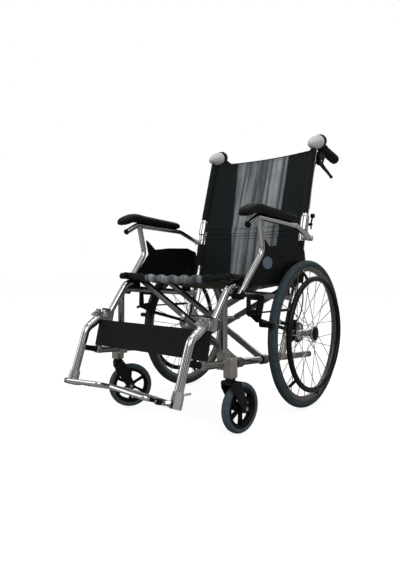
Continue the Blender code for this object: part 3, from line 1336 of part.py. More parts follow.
def foot_bracket(side, marker):
    """The sleeve on the hanger's foot with its clamp and the middle barrel of the footplate's hinge."""
    foot = at(side, HANGER_FOOT_X, HANGER_FOOT)
    bend = at(side, FRAME_X - 0.0015, HANGER_BEND)
    down = (foot - bend).normalized()
    sleeve = bar(foot - down * 0.010, foot + down * (FOOT_SLEEVE_LENGTH - 0.010), FOOT_SLEEVE_R, 12)
    clamp = bar(foot - down * 0.022, foot - down * 0.008, FOOT_SLEEVE_R - 0.0008, 12)
    lever = bar(foot - down * 0.014 + Vector((side * 0.010, 0.010, 0)),
                foot - down * 0.016 + Vector((side * 0.026, 0.020, 0.002)), 0.0032, 6)
    hinge = plate_hinge(side)
    axis = plate_axis()
    barrel = bar(hinge - axis * 0.014, hinge + axis * 0.014, KNUCKLE_R)
    link = bar(hinge, foot + down * 0.005, 0.0065, 6)
    pin = bar(hinge - axis * 0.0330, hinge + axis * 0.0330, 0.0030, 8)
    tube_hole = hole(foot - down * 0.08, foot + SEAT_GAP * down, HANGER_R)
    bracket = cut(join(sleeve, clamp, lever, link, barrel, pin), tube_hole)
    return name_piece(bracket, f"foot_bracket_{SIDES[side]}", CAST, marker)


def footplate(side, marker):
    """The flip-up plate with its rolled rim, ribbed tread and two outer hinge barrels."""
    hinge = plate_hinge(side)
    inner_end = PLATE_HINGE_X - PLATE_GAP / 2
    reach = inner_end / cos(PLATE_RISE) - PLATE_RIM_R
    start = 0.0170
    half = PLATE_LENGTH / 2
    along = plate_axis()
    across = Vector((-side, 0, 0))
    lift = Matrix.Rotation(side * PLATE_RISE, 4, along)
    across = lift @ across
    normal = across.cross(along) * (1 if side < 0 else -1)
    if normal.z < 0:
        normal = -normal
    columns = (across, along, across.cross(along))
    base = Matrix.Translation(hinge) @ Matrix(columns).transposed().to_4x4()
    corners = [(start, -half), (reach, -half), (reach, half), (start, half)]
    edge = PLATE_RIM_R
    inset = [(start + edge, -half + edge), (reach - edge, -half + edge), (reach - edge, half - edge),
             (start + edge, half - edge)]
    under = [(x + (edge / 2 if x == start else -edge / 2), y - edge / 2 * (1 if y > 0 else -1)) for x, y in corners]
    sheet = plate([rounded(under, 0.012, radians(45))], 0.0040, base)
    rim = plate([rounded(corners, 0.0145, radians(45)), rounded(inset, 0.009, radians(45))], 2 * edge, base)
    ribs = []
    for count in range(3):
        y = half * 0.45 * (count - 1)
        ribs.append(bar(base @ Vector((start + 0.026, y, 0)) + normal * 0.0012,
                        base @ Vector((reach - 0.020, y, 0)) + normal * 0.0012, 0.0024, 4))
    barrels = []
    for sign in (-1, 1):
        near, far = sign * 0.0146, sign * 0.0300
        barrels.append(bar(hinge + along * near, hinge + along * far, KNUCKLE_R))
        middle = (near + far) / 2
        barrels.append(bar(base @ Vector((0.0050, middle, 0)), base @ Vector((start + 0.010, middle, 0)), 0.0042, 6))
    end_piece = block((0.026, PLATE_LENGTH - 0.030, 0.0082), (0, 0, 0))
    end_piece.matrix_world = base @ Matrix.Translation((start + 0.010, 0, 0))
    bpy.context.view_layer.update()
    pin_hole = hole(hinge - along * 0.05, hinge + along * 0.05, 0.0030)
    body = cut(join(rim, sheet, bake(end_piece), *ribs, *barrels), pin_hole)
    return name_piece(body, f"footplate_{SIDES[side]}", ALUMINIUM, marker)


def calf_strap(marker):
    """The band between the two posts that keeps the feet off the casters: a loop round both."""
    hole_r = POST_R + SEAT_GAP + 0.0002
    outside = hole_r + CLOTH
    x = FRAME_X

    def stadium(radius):
        right = [(-x + radius * cos(a), radius * sin(a)) for a in [pi / 2 + pi * k / 6 for k in range(7)]]
        left = [(x + radius * cos(a), radius * sin(a)) for a in [-pi / 2 + pi * k / 6 for k in range(7)]]
        return right + left

    start, end = STRAP_SPAN
    place = Matrix.Translation(post_place(1, (start + end) / 2, x=0.0)) @ post_turn(1)
    grow = 1 / cos(pi / 12)
    strap = plate([stadium(outside * grow), stadium(hole_r * grow)], end - start, place)
    return name_piece(strap, "calf_strap", BLACK_CLOTH, marker)


# Assembly

def build_side(side, root):
    word = SIDES[side]
    frame = empty(f"{word}_frame", (side * FRAME_X, 0, FRAME_Z), root)
    side_frame(side, frame)
    caster_housing(side, frame)
    axle_and_drum(side, frame)
    seat_cradle(side, frame)
    armrest_saddle(side, frame)
    wheel_lock_plate(side, frame)

    wheel = empty(f"{word}_wheel_axis", (side * WHEEL_X, 0, WHEEL_R), frame)
    rear_tyre(side, wheel)
    rear_wheel(side, wheel)
    handrim(side, wheel)

    swivel = empty(f"{word}_swivel_axis", (side * CASTER_X, CASTER_Y, 0), frame)
    caster_fork(side, swivel)
    spin = empty(f"{word}_caster_axle", caster_place(side, 0, CASTER_TRAIL, CASTER_R), swivel)
    caster_wheel(side, spin)
    caster_tyre(side, spin)

    back = empty(f"{word}_back_hinge", at(side, BACK_X, HINGE_POINT), frame)
    upper_cane(side, back)
    hinge_sleeve(side, back)
    grip_cap(side, back)
    push_grip(side, back)
    hinge_release(side, empty(f"{word}_release_pivot", back_place(side, *release_point()), back))
    brake_lever(side, empty(f"{word}_lever_pivot", lever_pivot(side), back))
    brake_cable(side, frame)

    arm = empty(f"{word}_armrest_pivot", at(side, ARM_X, ARM_PIVOT), frame)
    armrest_frame(side, arm)
    armrest_pad(side, arm)
    skirt_guard(side, arm)

    wheel_lock_lever(side, empty(f"{word}_lock_pivot", at(side, LOCK_X, LOCK_PIVOT), frame))

    swing = empty(f"{word}_hanger_axis", post_place(side), frame)
    hanger(side, swing)
    foot_bracket(side, swing)
    hanger_latch(side, empty(f"{word}_latch_pivot", latch_pivot(side), swing))
    footplate(side, empty(f"{word}_footplate_hinge", plate_hinge(side), swing))
    return frame, back


def build():
    root = empty("wheelchair_origin", (0, 0, 0))
    frame, back = build_side(1, root)
    build_side(-1, root)
    fold = empty("brace_fold_axis", brace_place(FRAME_X, 0, 0), root)
    brace("brace_a", 1, ARMS_A, fold)
    cross = empty("brace_cross_axis", brace_place(0, 0, center_height()), fold)
    brace("brace_b", -1, ARMS_B, cross)
    seat_sling(cross)
    lower_sling(frame)
    upper_sling(back)
    calf_strap(frame)
    center_footprint(root)


def center_footprint(root):
    """Moves the origin to the middle of the chair's bounding box, on the ground."""
    bpy.context.view_layer.update()
    graph = bpy.context.evaluated_depsgraph_get()
    corners = []
    for piece in PARTS.objects:
        if piece.type != "MESH":
            continue
        solid = piece.evaluated_get(graph)
        corners += [piece.matrix_world @ Vector(corner) for corner in solid.bound_box]
    middle = (min(c.y for c in corners) + max(c.y for c in corners)) / 2
    base = min(c.z for c in corners)
    root.location = (0.0, -middle, -base)
    bpy.context.view_layer.update()


build()
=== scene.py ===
"""Folding wheelchair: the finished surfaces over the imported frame.

The pieces are laid out as the frame was: y = 0 at the rear axle, z = 0 on the ground and +X at the user's
left. MOVE then takes them to the frame's origin, in the middle of the footprint.
"""
from math import acos, atan2, ceil, cos, hypot, pi, radians, sin, sqrt, tan

import bmesh
import bpy
from mathutils import Matrix, Vector, noise


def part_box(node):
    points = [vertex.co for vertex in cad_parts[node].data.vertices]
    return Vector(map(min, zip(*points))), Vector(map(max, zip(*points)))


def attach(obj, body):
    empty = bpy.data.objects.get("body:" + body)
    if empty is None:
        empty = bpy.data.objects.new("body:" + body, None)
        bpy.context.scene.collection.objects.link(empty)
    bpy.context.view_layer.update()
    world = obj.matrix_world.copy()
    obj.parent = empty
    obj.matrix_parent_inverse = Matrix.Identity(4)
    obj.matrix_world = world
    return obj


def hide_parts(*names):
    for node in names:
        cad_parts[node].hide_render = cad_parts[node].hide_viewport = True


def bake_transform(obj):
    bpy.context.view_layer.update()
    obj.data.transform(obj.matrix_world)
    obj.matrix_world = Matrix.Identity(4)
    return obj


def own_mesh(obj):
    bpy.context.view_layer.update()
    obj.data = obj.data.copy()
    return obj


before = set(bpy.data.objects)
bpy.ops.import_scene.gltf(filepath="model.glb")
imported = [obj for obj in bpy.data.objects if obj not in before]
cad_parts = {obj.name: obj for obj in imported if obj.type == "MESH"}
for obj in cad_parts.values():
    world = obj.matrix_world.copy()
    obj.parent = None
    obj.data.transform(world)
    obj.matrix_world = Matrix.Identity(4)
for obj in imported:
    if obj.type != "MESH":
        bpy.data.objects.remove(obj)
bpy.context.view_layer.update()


TYRE_LOW, TYRE_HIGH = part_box("rear_tyre_left")
MOVE = Vector((0.0, (TYRE_LOW[1] + TYRE_HIGH[1]) / 2, 0.0))
SIDES = {1: "left", -1: "right"}

# Sizes of the frame
CLOTH = 0.003
RAKE = radians(4.74)
CASTER_R = 0.0745
FRAME_Z = 2 * CASTER_R + 0.022
RAIL_H = 0.2074
TUBE_R = 0.011
CANE_R = 0.0115
UPRIGHT_Y = -0.4255
TAIL_Y = 0.112
POST_POINT = (-0.4997, 0.156)
POST_LEAN = atan2(0.2354, 0.9719)
POST_FOOT, POST_HEAD = -0.1255, 0.018
CANE_FOOT = (-0.09, 0.0075)
CANE_BEND = (0.012, 0.299)
CANE_TOP = (0.042, 0.446)
FRONT_CLIMB = radians(52.9)
CRADLE_BACK = {1: 0.053443, -1: 0.041443}
RAIL_RUN = Vector((0, cos(RAKE), -sin(RAKE)))

# Places across the chair
FRAME_X = 0.2185
PLATE_X = FRAME_X + 0.002
SEAT_RAIL_X = FRAME_X + 0.005
CANE_TOP_X = FRAME_X + 0.014
BACK_X = CANE_TOP_X + 0.0005
CASTER_X = FRAME_X + 0.0207
ARM_FOOT_X = FRAME_X + 0.026
GUARD_X = FRAME_X + 0.0307
ARM_X = GUARD_X + 0.01
PAD_X = ARM_X + 0.0028
WHEEL_X = FRAME_X + 0.0525
HUB_IN, HUB_OUT = -0.0315, 0.0295
DRUM_X = WHEEL_X + HUB_IN - 0.005
HANDRIM_X = WHEEL_X + 0.031
HANGER_FOOT_X = FRAME_X - 0.003
PLATE_HINGE_X = FRAME_X - 0.029

# Wheels and casters
WHEEL_R = 0.255
RIM_INNER = 0.2165
RIM_FACE_X = WHEEL_X + 0.0118
SPOKES = 28
SPOKE_TURN = radians(62)
SPOKE_END_R = 0.2195
HUB_FLANGE_R = 0.027
HANDRIM_R = 0.191
HANDRIM_TUBE_R = 0.009
HANDRIM_TABS = 6
CASTER_Y = -0.422
CASTER_TRAIL = 0.0433
CASTER_YAW = {1: radians(-5.66), -1: radians(-34.5)}
CASTER_WIDTH = 0.027
CASTER_SPOKES = 6
FORK_INSIDE = 0.038
FORK_PLATE = 0.0045

# Brace, seat and back
BRACE_WIDTH = 0.019
SEAT_RAIL_R = 0.0105
SEAT_RAIL_RISE = 0.043
BRACE_H = (RAIL_H + SEAT_RAIL_RISE) * cos(RAKE)
SEAT_FRONT_Y = -0.415
SEAT_REAR_Y = -0.022
EYE_R = TUBE_R + 0.0045
ARMS_A = (-0.355, -0.21)
ARMS_B = (-0.232, -0.056)
REAR_REST_Y = -0.0745
SEAT_SAG = 0.045
FRONT_SLACK = 0.22
PLEATS = 9
PLEAT_DEPTH = 0.003
CREASE_DEPTH = 0.0016
HINGE_POINT = (0.064, 0.439)
SLEEVE_R = 0.0158
BACK_LEAN = atan2(0.286, 1.0)
BACK_HEIGHT = 0.338
GRIP_DROP = radians(11.0)
GRIP_R = 0.0185
GRIP_LENGTH = 0.12
GRIP_END = 0.186
CAP_TILT = radians(18.0)
SLING_BOW = 0.02
PANEL_HALF = 0.1225
FOLD_IN = 0.2485

# Armrests, locks and footrests
ARM_TUBE_R = 0.0095
ARM_TILT = radians(5.0)
ARM_PIVOT = (0.042, 0.419)
ARM_STUB = (-0.3624, 0.442)
ARM_FRONT = (-0.31, 0.469)
ARM_REAR = (-0.067, 0.457)
ARM_KNEE = (-0.2755, 0.363)
ARM_POST_TOP = (-0.298, 0.468)
ARM_FOOT = (-0.387, RAIL_H + 0.0256)
PAD_WAIST = 0.4
GUARD_TOP = 0.417
BADGE_POINT = (-0.236, 0.329)
BADGE_STRETCH = 1.5
DRUM_END = (-0.021, 0.2965)
HANGER_R = 0.0125
SOCKET_R = 0.014
SOCKET_SHARE = 0.6
HANGER_BEND = (-0.576, 0.1175)
HANGER_FOOT = (-0.627, -0.029)
HEAD_R = 0.0155
STOP_ALONG = -0.1135
PLATE_CENTER = (-0.648, -0.0345)
PLATE_SLOPE = radians(19.2)
PLATE_RISE = radians(3.5)
PLATE_LENGTH = 0.104
PLATE_RIM_R = 0.005
PLATE_GAP = 0.0225
KNUCKLE_R = 0.0078
STRAP_SPAN = (-0.1005, -0.0172)
STRAP_OUT = 0.0128

# Cables and seams
CABLE_R = 0.0023
STITCH_PITCH = 0.0052
STITCH_LENGTH = 0.0036
STITCH_R = 0.00042

# Studio
FLOOR_Z = -0.0005
FLOOR_WIDTH = 28.0
ROOM_LIGHT = 0.44
PAPER_WHITE = 0.84
FLAGS = 9
FLAG_DISTANCE = 3.3
LAMP_TARGET = Vector((0, 0, 0.45))


# Lines of the frame

def low(y):
    return FRAME_Z - tan(RAKE) * y


def rail(y):
    return low(y) + RAIL_H


def seat_rail(y):
    return rail(y) + SEAT_RAIL_RISE


def front_top(y):
    return rail(y) + 0.0208


def at(side, x, point):
    return Vector((side * x, point[0], FRAME_Z + point[1]))


def cane_line(side):
    rise = CANE_TOP[1] - CANE_FOOT[1]
    return [at(side, FRAME_X + (point[1] - CANE_FOOT[1]) / rise * (CANE_TOP_X - FRAME_X), point)
            for point in (CANE_FOOT, CANE_BEND, CANE_TOP)]


def post_place(side, along=0.0, out=0.0, x=FRAME_X):
    y = POST_POINT[0] + along * sin(POST_LEAN) + out * cos(POST_LEAN)
    return Vector((side * x, y, FRAME_Z + POST_POINT[1] + along * cos(POST_LEAN) - out * sin(POST_LEAN)))


def brace_place(x, y, normal):
    return Vector((x, y * cos(RAKE) + normal * sin(RAKE), FRAME_Z - y * sin(RAKE) + normal * cos(RAKE)))


def back_place(side, along, out=0.0, x=BACK_X):
    y = CANE_TOP[0] + along * sin(BACK_LEAN) + out * cos(BACK_LEAN)
    return Vector((side * x, y, FRAME_Z + CANE_TOP[1] + along * cos(BACK_LEAN) - out * sin(BACK_LEAN)))


def grip_place(side, along, out=0.0):
    corner = back_place(side, BACK_HEIGHT / cos(BACK_LEAN))
    y = corner.y + along * cos(GRIP_DROP) + out * sin(GRIP_DROP)
    return Vector((corner.x, y, corner.z - along * sin(GRIP_DROP) + out * cos(GRIP_DROP)))


def lever_pivot(side):
    return grip_place(side, GRIP_END - GRIP_LENGTH - 0.014, -0.056)


def arm_center(side, x):
    pivot = at(side, ARM_X, ARM_PIVOT)
    axis = Vector((cos(ARM_TILT), 0.0, -side * sin(ARM_TILT)))
    return pivot + axis * (side * (x - ARM_X) / cos(ARM_TILT))


def caster_axle(side):
    """The middle of the caster's wheel and the direction of its axle."""
    turn = Matrix.Translation((side * CASTER_X, CASTER_Y, 0.0)) @ Matrix.Rotation(CASTER_YAW[side], 4, "Z")
    return turn @ Vector((0, CASTER_TRAIL, CASTER_R)), turn.to_3x3() @ Vector((side, 0, 0))


def front_tube_line(side):
    start = post_place(side, 0.0125, 0.0215)
    rise = (front_top(start.y) - start.z) / (tan(FRONT_CLIMB) + tan(RAKE))
    corner = start + Vector((0, rise, rise * tan(FRONT_CLIMB)))
    end_y = corner.y + CRADLE_BACK[side]
    return [start, corner, Vector((start.x, end_y, front_top(end_y)))]


def run_of(place, side):
    """The direction in which one of the lines above runs."""
    return place(side, 1) - place(side, 0)


# Shapes

def facing(axis):
    """A turn whose Z runs along the axis, with Y as near to straight up as it can be."""
    z = Vector(axis).normalized()
    up = Vector((0, 0, 1)) if abs(z.z) < 0.9 else Vector((0, 1, 0))
    x = up.cross(z).normalized()
    return Matrix((x, z.cross(x), z)).transposed().to_4x4()


def on_axis(center, axis):
    return Matrix.Translation(center) @ facing(axis)


def side_plane(x):
    """Local X to +Y and local Y to +Z, for a flat outline seen from the side of the chair."""
    return Matrix(((0, 0, 1, x), (1, 0, 0, 0), (0, 1, 0, 0), (0, 0, 0, 1)))


def leaning(place, lean):
    """The side plane through a point, with its local Y leaning towards +Y."""
    return Matrix.Translation(place) @ side_plane(0) @ Matrix.Rotation(-lean, 4, "Z")


def filleted(points, radius, step=radians(9), closed=False):
    """The points of a polyline whose corners are replaced by arcs, as wide as their neighbours leave room for."""
    points = [Vector(point) for point in points]
    route = []
    for index, corner in enumerate(points):
        if not closed and index in (0, len(points) - 1):
            route.append(corner)
            continue
        before = points[index - 1] - corner
        after = points[(index + 1) % len(points)] - corner
        room = 0.48 * min(before.length, after.length)
        before, after = before.normalized(), after.normalized()
        turn = pi - acos(max(-1.0, min(1.0, before.dot(after))))
        if turn < radians(1):
            route.append(corner)
            continue
        reach = min(radius * tan(turn / 2), room)
        bend = reach / tan(turn / 2)
        center = corner + (before + after).normalized() * (bend / cos(turn / 2))
        first = corner + before * reach - center
        last = corner + after * reach - center
        steps = max(1, ceil(turn / step))
        for share in shares(steps):
            route.append(center + (first * sin((1 - share) * turn) + last * sin(share * turn)) / sin(turn))
    return route


def rounded(points, radius, step=radians(18)):
    flat = [Vector((x, y, 0)) for x, y in points]
    return [(point.x, point.y) for point in filleted(flat, radius, step, closed=True)]


def shares(count):
    """From 0 to 1 in a number of even steps."""
    return [k / count for k in range(count + 1)]


def oval(wide, high, sides):
    turns = [2 * pi * k / sides for k in range(sides)]
    return [(wide * cos(turn), high * sin(turn)) for turn in turns]


def circle(radius, sides=16):
    return oval(radius, radius, sides)


def mirrored(flank, middle=()):
    """An outline with the same flank on both sides of its middle."""
    return [(radius, -along) for radius, along in flank] + [*middle] + flank[::-1]


def skin(work, rows, loop=False, caps=True):
    """Joins rows of points into one surface; a row of one point closes to a tip."""
    pairs = list(zip(rows, rows[1:])) + ([(rows[-1], rows[0])] if loop else [])
    for row, after in pairs:
        for k in range(max(len(row), len(after))):
            corners = []
            for line, number in ((row, k), (row, k + 1), (after, k + 1), (after, k)):
                vert = line[number % len(line)]
                if vert not in corners:
                    corners.append(vert)
            if len(corners) > 2:
                work.faces.new(corners)
    if caps and not loop:
        for row in (rows[0], rows[-1]):
            if len(row) > 2:
                work.faces.new(row)
    bmesh.ops.recalc_face_normals(work, faces=work.faces)
    return work


def carried(route, closed=False, up=None):
    """Two directions square to the line at each of its points, carried along it without twist."""
    count = len(route)
    runs = []
    for k in range(count):
        before = route[k - 1] if closed or k else route[0]
        after = route[(k + 1) % count] if closed or k < count - 1 else route[-1]
        runs.append((after - before).normalized())
    side = Vector(up) if up else (Vector((1, 0, 0)) if abs(runs[0].x) < 0.9 else Vector((0, 0, 1)))
    last = runs[0]
    found = []
    for run in runs:
        side = last.rotation_difference(run) @ side
        side = (side - run * side.dot(run)).normalized()
        found.append((side, run.cross(side)))
        last = run
    return found


def sweep(route, section, sizes=None, closed=False, up=None):
    """A flat section carried along a line, larger or smaller at each point."""
    route = [Vector(point) for point in route]
    work = bmesh.new()
    rows = []
    for k, (place, (across, over)) in enumerate(zip(route, carried(route, closed, up))):
        size = sizes[k] if sizes else 1.0
        rows.append([work.verts.new(place + (across * x + over * y) * size) for x, y in section])
    return skin(work, rows, loop=closed)


def pipe(points, radius, bend=0.0, sides=18, lip=0.0012):
    """A bent round bar with rounded corners and softened ends."""
    route = filleted(points, bend) if bend else [Vector(point) for point in points]
    lip = min(lip, radius * 0.6)
    sizes = [1.0] * len(route)
    for end, inner in ((0, 1), (-1, -2)):
        tip, run = route[end].copy(), (route[inner] - route[end]).normalized()
        places = [tip, tip + run * lip * 0.3, tip + run * lip]
        scales = [1 - lip / radius, 1 - 0.3 * lip / radius, 1.0]
        if end == 0:
            route, sizes = places + route[1:], scales + sizes[1:]
        else:
            route, sizes = route[:-1] + places[::-1], sizes[:-1] + scales[::-1]
    return sweep(route, circle(radius, sides), sizes)


def rod(start, end, radius, sides=12, lip=0.0006):
    return pipe([start, end], radius, sides=sides, lip=lip)


def lathe(profile, center, axis, sides=48, closed=False, soft=0.0):
    """A solid of revolution from (radius, place along the axis)."""
    if soft:
        flat = [Vector((radius, along, 0)) for radius, along in profile]
        profile = [(max(point.x, 0.0), point.y) for point in filleted(flat, soft, radians(30), closed)]
    turn = on_axis(center, axis)
    work = bmesh.new()
    rows = []
    for radius, along in profile:
        steps = 1 if radius < 1e-6 else sides
        rows.append([work.verts.new(turn @ Vector((x, y, along))) for x, y in circle(radius, sides)[:steps]])
    return skin(work, rows, loop=closed, caps=not closed)


def turned(profile, center, axis, sides=48, soft=0.0):
    """A ring of revolution: the profile closes on itself round a bore."""
    return lathe(profile, center, axis, sides, closed=True, soft=soft)


def ring(center, axis, radius, thick, sides=96, around=16):
    return turned([(radius + x, y) for x, y in circle(thick, around)], center, axis, sides)


def soften(work, width):
    """Rounds the sharp edges of a shape."""
    edges = [edge for edge in work.edges if len(edge.link_faces) == 2 and edge.calc_face_angle() > radians(38)]
    if width and edges:
        bmesh.ops.bevel(work, geom=edges, offset=width, segments=2, profile=0.5, affect="EDGES",
                        clamp_overlap=True)
    return work


def linked(name, data):
    """A new object in the scene."""
    thing = bpy.data.objects.new(name, data)
    bpy.context.collection.objects.link(thing)
    return thing


def plate(outline, thickness, place, edge=0.0006):
    """A flat plate in the plane that the matrix sets, with eased edges."""
    curve = bpy.data.curves.new("outline", "CURVE")
    curve.dimensions = "2D"
    curve.fill_mode = "BOTH"
    curve.extrude = thickness / 2
    spline = curve.splines.new("POLY")
    spline.points.add(len(outline) - 1)
    spline.use_cyclic_u = True
    for point, (x, y) in zip(spline.points, outline):
        point.co = (x, y, 0.0, 1.0)
    shape = linked("outline", curve)
    bpy.context.view_layer.update()
    graph = bpy.context.evaluated_depsgraph_get()
    mesh = bpy.data.meshes.new_from_object(shape.evaluated_get(graph), depsgraph=graph)
    work = bmesh.new()
    work.from_mesh(mesh)
    bpy.data.objects.remove(shape, do_unlink=True)
    bpy.data.curves.remove(curve)
    bpy.data.meshes.remove(mesh)
    bmesh.ops.remove_doubles(work, verts=work.verts, dist=0.000004)
    bmesh.ops.dissolve_limit(work, angle_limit=radians(0.5), verts=work.verts, edges=work.edges)
    bmesh.ops.recalc_face_normals(work, faces=work.faces)
    soften(work, edge)
    work.transform(place)
    return work


def block(size, place, edge=0.001):
    """A box with eased edges, in the place that the matrix or the point sets."""
    work = bmesh.new()
    bmesh.ops.create_cube(work, size=1.0)
    bmesh.ops.scale(work, vec=Vector(size), verts=work.verts)
    soften(work, edge)
    work.transform(place if isinstance(place, Matrix) else Matrix.Translation(place))
    return work


def bolt(center, axis, radius=0.005, height=0.0035):
    """A six-sided bolt head with a domed top, on a washer."""
    turn = on_axis(center, axis)
    head = bmesh.new()
    rows = []
    for size, along in ((1.0, 0.0006), (1.0, height * 0.75), (0.86, height * 0.95), (0.0, height)):
        corners = circle(radius * size, 6)[:6 if size else 1]
        rows.append([head.verts.new(turn @ Vector((x, y, along))) for x, y in corners])
    skin(head, rows)
    washer = lathe([(0.0, 0.0), (radius * 1.35, 0.0), (radius * 1.35, 0.0007), (0.0, 0.0007)], center, axis, 20)
    return [head, washer]


def screw_head(center, axis, radius=0.0035):
    """A domed screw head with a round recess in its middle."""
    return lathe([(0.0, radius * 0.32), (radius * 0.3, radius * 0.34), (radius * 0.36, radius * 0.5),
                  (radius * 0.8, radius * 0.36), (radius, 0.0), (0.0, 0.0)], center, axis, 16)


def screw_pair(middle, out, radius):
    """A screw head on each side of a part, as far out from its middle."""
    return [screw_head(middle + Vector((way * out, 0, 0)), (way, 0, 0), radius) for way in (-1, 1)]


def weld(center, axis, radius, thick=0.0013):
    """A rippled weld bead round a tube."""
    turn = on_axis(center, axis)
    work = bmesh.new()
    rows = []
    steps, ripples = 60, 20
    for count in range(steps):
        angle = 2 * pi * count / steps
        bead = thick * (1 + 0.22 * sin(angle * ripples))
        rows.append([work.verts.new(turn @ Vector(((radius + x) * cos(angle), (radius + x) * sin(angle), y)))
                     for x, y in oval(bead, bead * 1.5, 8)])
    return skin(work, rows, loop=True)


def cloth_grid(columns, rows, shape, thickness):
    """A sheet of cloth with a front, a back and closed edges; the shape gives a place for (u, v) from 0 to 1."""
    points = [[Vector(shape(c / columns, r / rows)) for c in range(columns + 1)] for r in range(rows + 1)]
    work = bmesh.new()
    layers = []
    for sign in (1, -1):
        layer = []
        for r, row in enumerate(points):
            line = []
            for c, place in enumerate(row):
                run = row[min(c + 1, columns)] - row[max(c - 1, 0)]
                rise = points[min(r + 1, rows)][c] - points[max(r - 1, 0)][c]
                line.append(work.verts.new(place + run.cross(rise).normalized() * sign * thickness / 2))
            layer.append(line)
        layers.append(layer)
    top, under = layers
    for layer in layers:
        for r in range(rows):
            for c in range(columns):
                work.faces.new((layer[r][c], layer[r][c + 1], layer[r + 1][c + 1], layer[r + 1][c]))
    for r in (0, rows):
        for c in range(columns):
            work.faces.new((top[r][c], top[r][c + 1], under[r][c + 1], under[r][c]))
    for c in (0, columns):
        for r in range(rows):
            work.faces.new((top[r][c], top[r + 1][c], under[r + 1][c], under[r][c]))
    bmesh.ops.recalc_face_normals(work, faces=work.faces)
    return work


def stitches(route, lift=0.0004, up=(0, -1, 0)):
    """A run of single stitches along a line, standing a little proud of the cloth."""
    work = bmesh.new()
    up = Vector(up)
    tip = (Vector(),)
    gone = 0.0
    for start, end in zip(route, route[1:]):
        run = end - start
        while gone < run.length:
            middle = start + run * (gone / run.length) + up * lift
            ahead = run.normalized() * STITCH_LENGTH / 2
            side, top = ahead.cross(up).normalized() * STITCH_R, up * STITCH_R
            around = (side, top, -side, -top)
            rows = [[work.verts.new(middle + ahead * along + offset) for offset in offsets]
                    for along, offsets in ((-1, tip), (-0.6, around), (0.6, around), (1, tip))]
            skin(work, rows, caps=False)
            gone += STITCH_PITCH
        gone -= run.length
    return work


class Piece:
    """The shapes of one piece, each with its finish, gathered into one mesh."""

    def __init__(self, name):
        self.name = name
        self.work = bmesh.new()
        self.finishes = []

    def add(self, finish, *shapes):
        if finish not in self.finishes:
            self.finishes.append(finish)
        for shape in shapes:
            for face in shape.faces:
                face.material_index = self.finishes.index(finish)
            mesh = bpy.data.meshes.new("shape")
            shape.to_mesh(mesh)
            shape.free()
            self.work.from_mesh(mesh)
            bpy.data.meshes.remove(mesh)
        return self

    def made(self):
        """The piece as an object in its place."""
        self.work.transform(Matrix.Translation(MOVE))
        mesh = bpy.data.meshes.new(self.name)
        self.work.to_mesh(mesh)
        self.work.free()
        for finish in self.finishes:
            mesh.materials.append(finish)
        mesh.shade_smooth()
        mesh.set_sharp_from_angle(angle=radians(34))
        return linked(self.name, mesh)

    def stands(self, slot, *nodes):
        """The piece in the place of the frame's plain solids, which it hides; the slot is not used."""
        thing = self.made()
        if nodes:
            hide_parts(*nodes)
        return thing

    def rides(self, body, slot, *nodes, even=False):
        """The piece on its body; even shading lets its large faces set the light on the small ones beside them."""
        thing = self.stands(slot, *nodes)
        if even:
            facets = thing.modifiers.new("even_shading", "WEIGHTED_NORMAL")
            facets.keep_sharp = True
        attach(thing, body)
        return thing


# Finishes

def tint(red, green, blue):
    """A colour as it is seen, 0 to 255 a part, in the linear light that the shader takes."""
    linear = [part / 255 / 12.92 if part <= 10 else ((part / 255 + 0.055) / 1.055) ** 2.4
              for part in (red, green, blue)]
    return (*linear, 1.0)


def shaded(color, share, lift=0.0):
    return tuple(part * share + lift for part in color[:3]) + (1.0,)


class Link:
    """A socket of a finish that takes part in sums as a number does."""

    def __init__(self, finish, socket):
        self.finish, self.socket = finish, socket

    def __getitem__(self, name):
        return Link(self.finish, self.socket.node.outputs[name])

    def math(self, operation, *values):
        return self.finish.node("Math", {"operation": operation}, *values)

    def __add__(self, other):
        return self.math("ADD", self, other)

    __radd__ = __add__

    def __sub__(self, other):
        return self.math("SUBTRACT", self, other)

    def __rsub__(self, other):
        return self.math("SUBTRACT", other, self)

    def __mul__(self, other):
        return self.math("MULTIPLY", self, other)

    __rmul__ = __mul__

    def __pow__(self, other):
        return self.math("POWER", self, other)


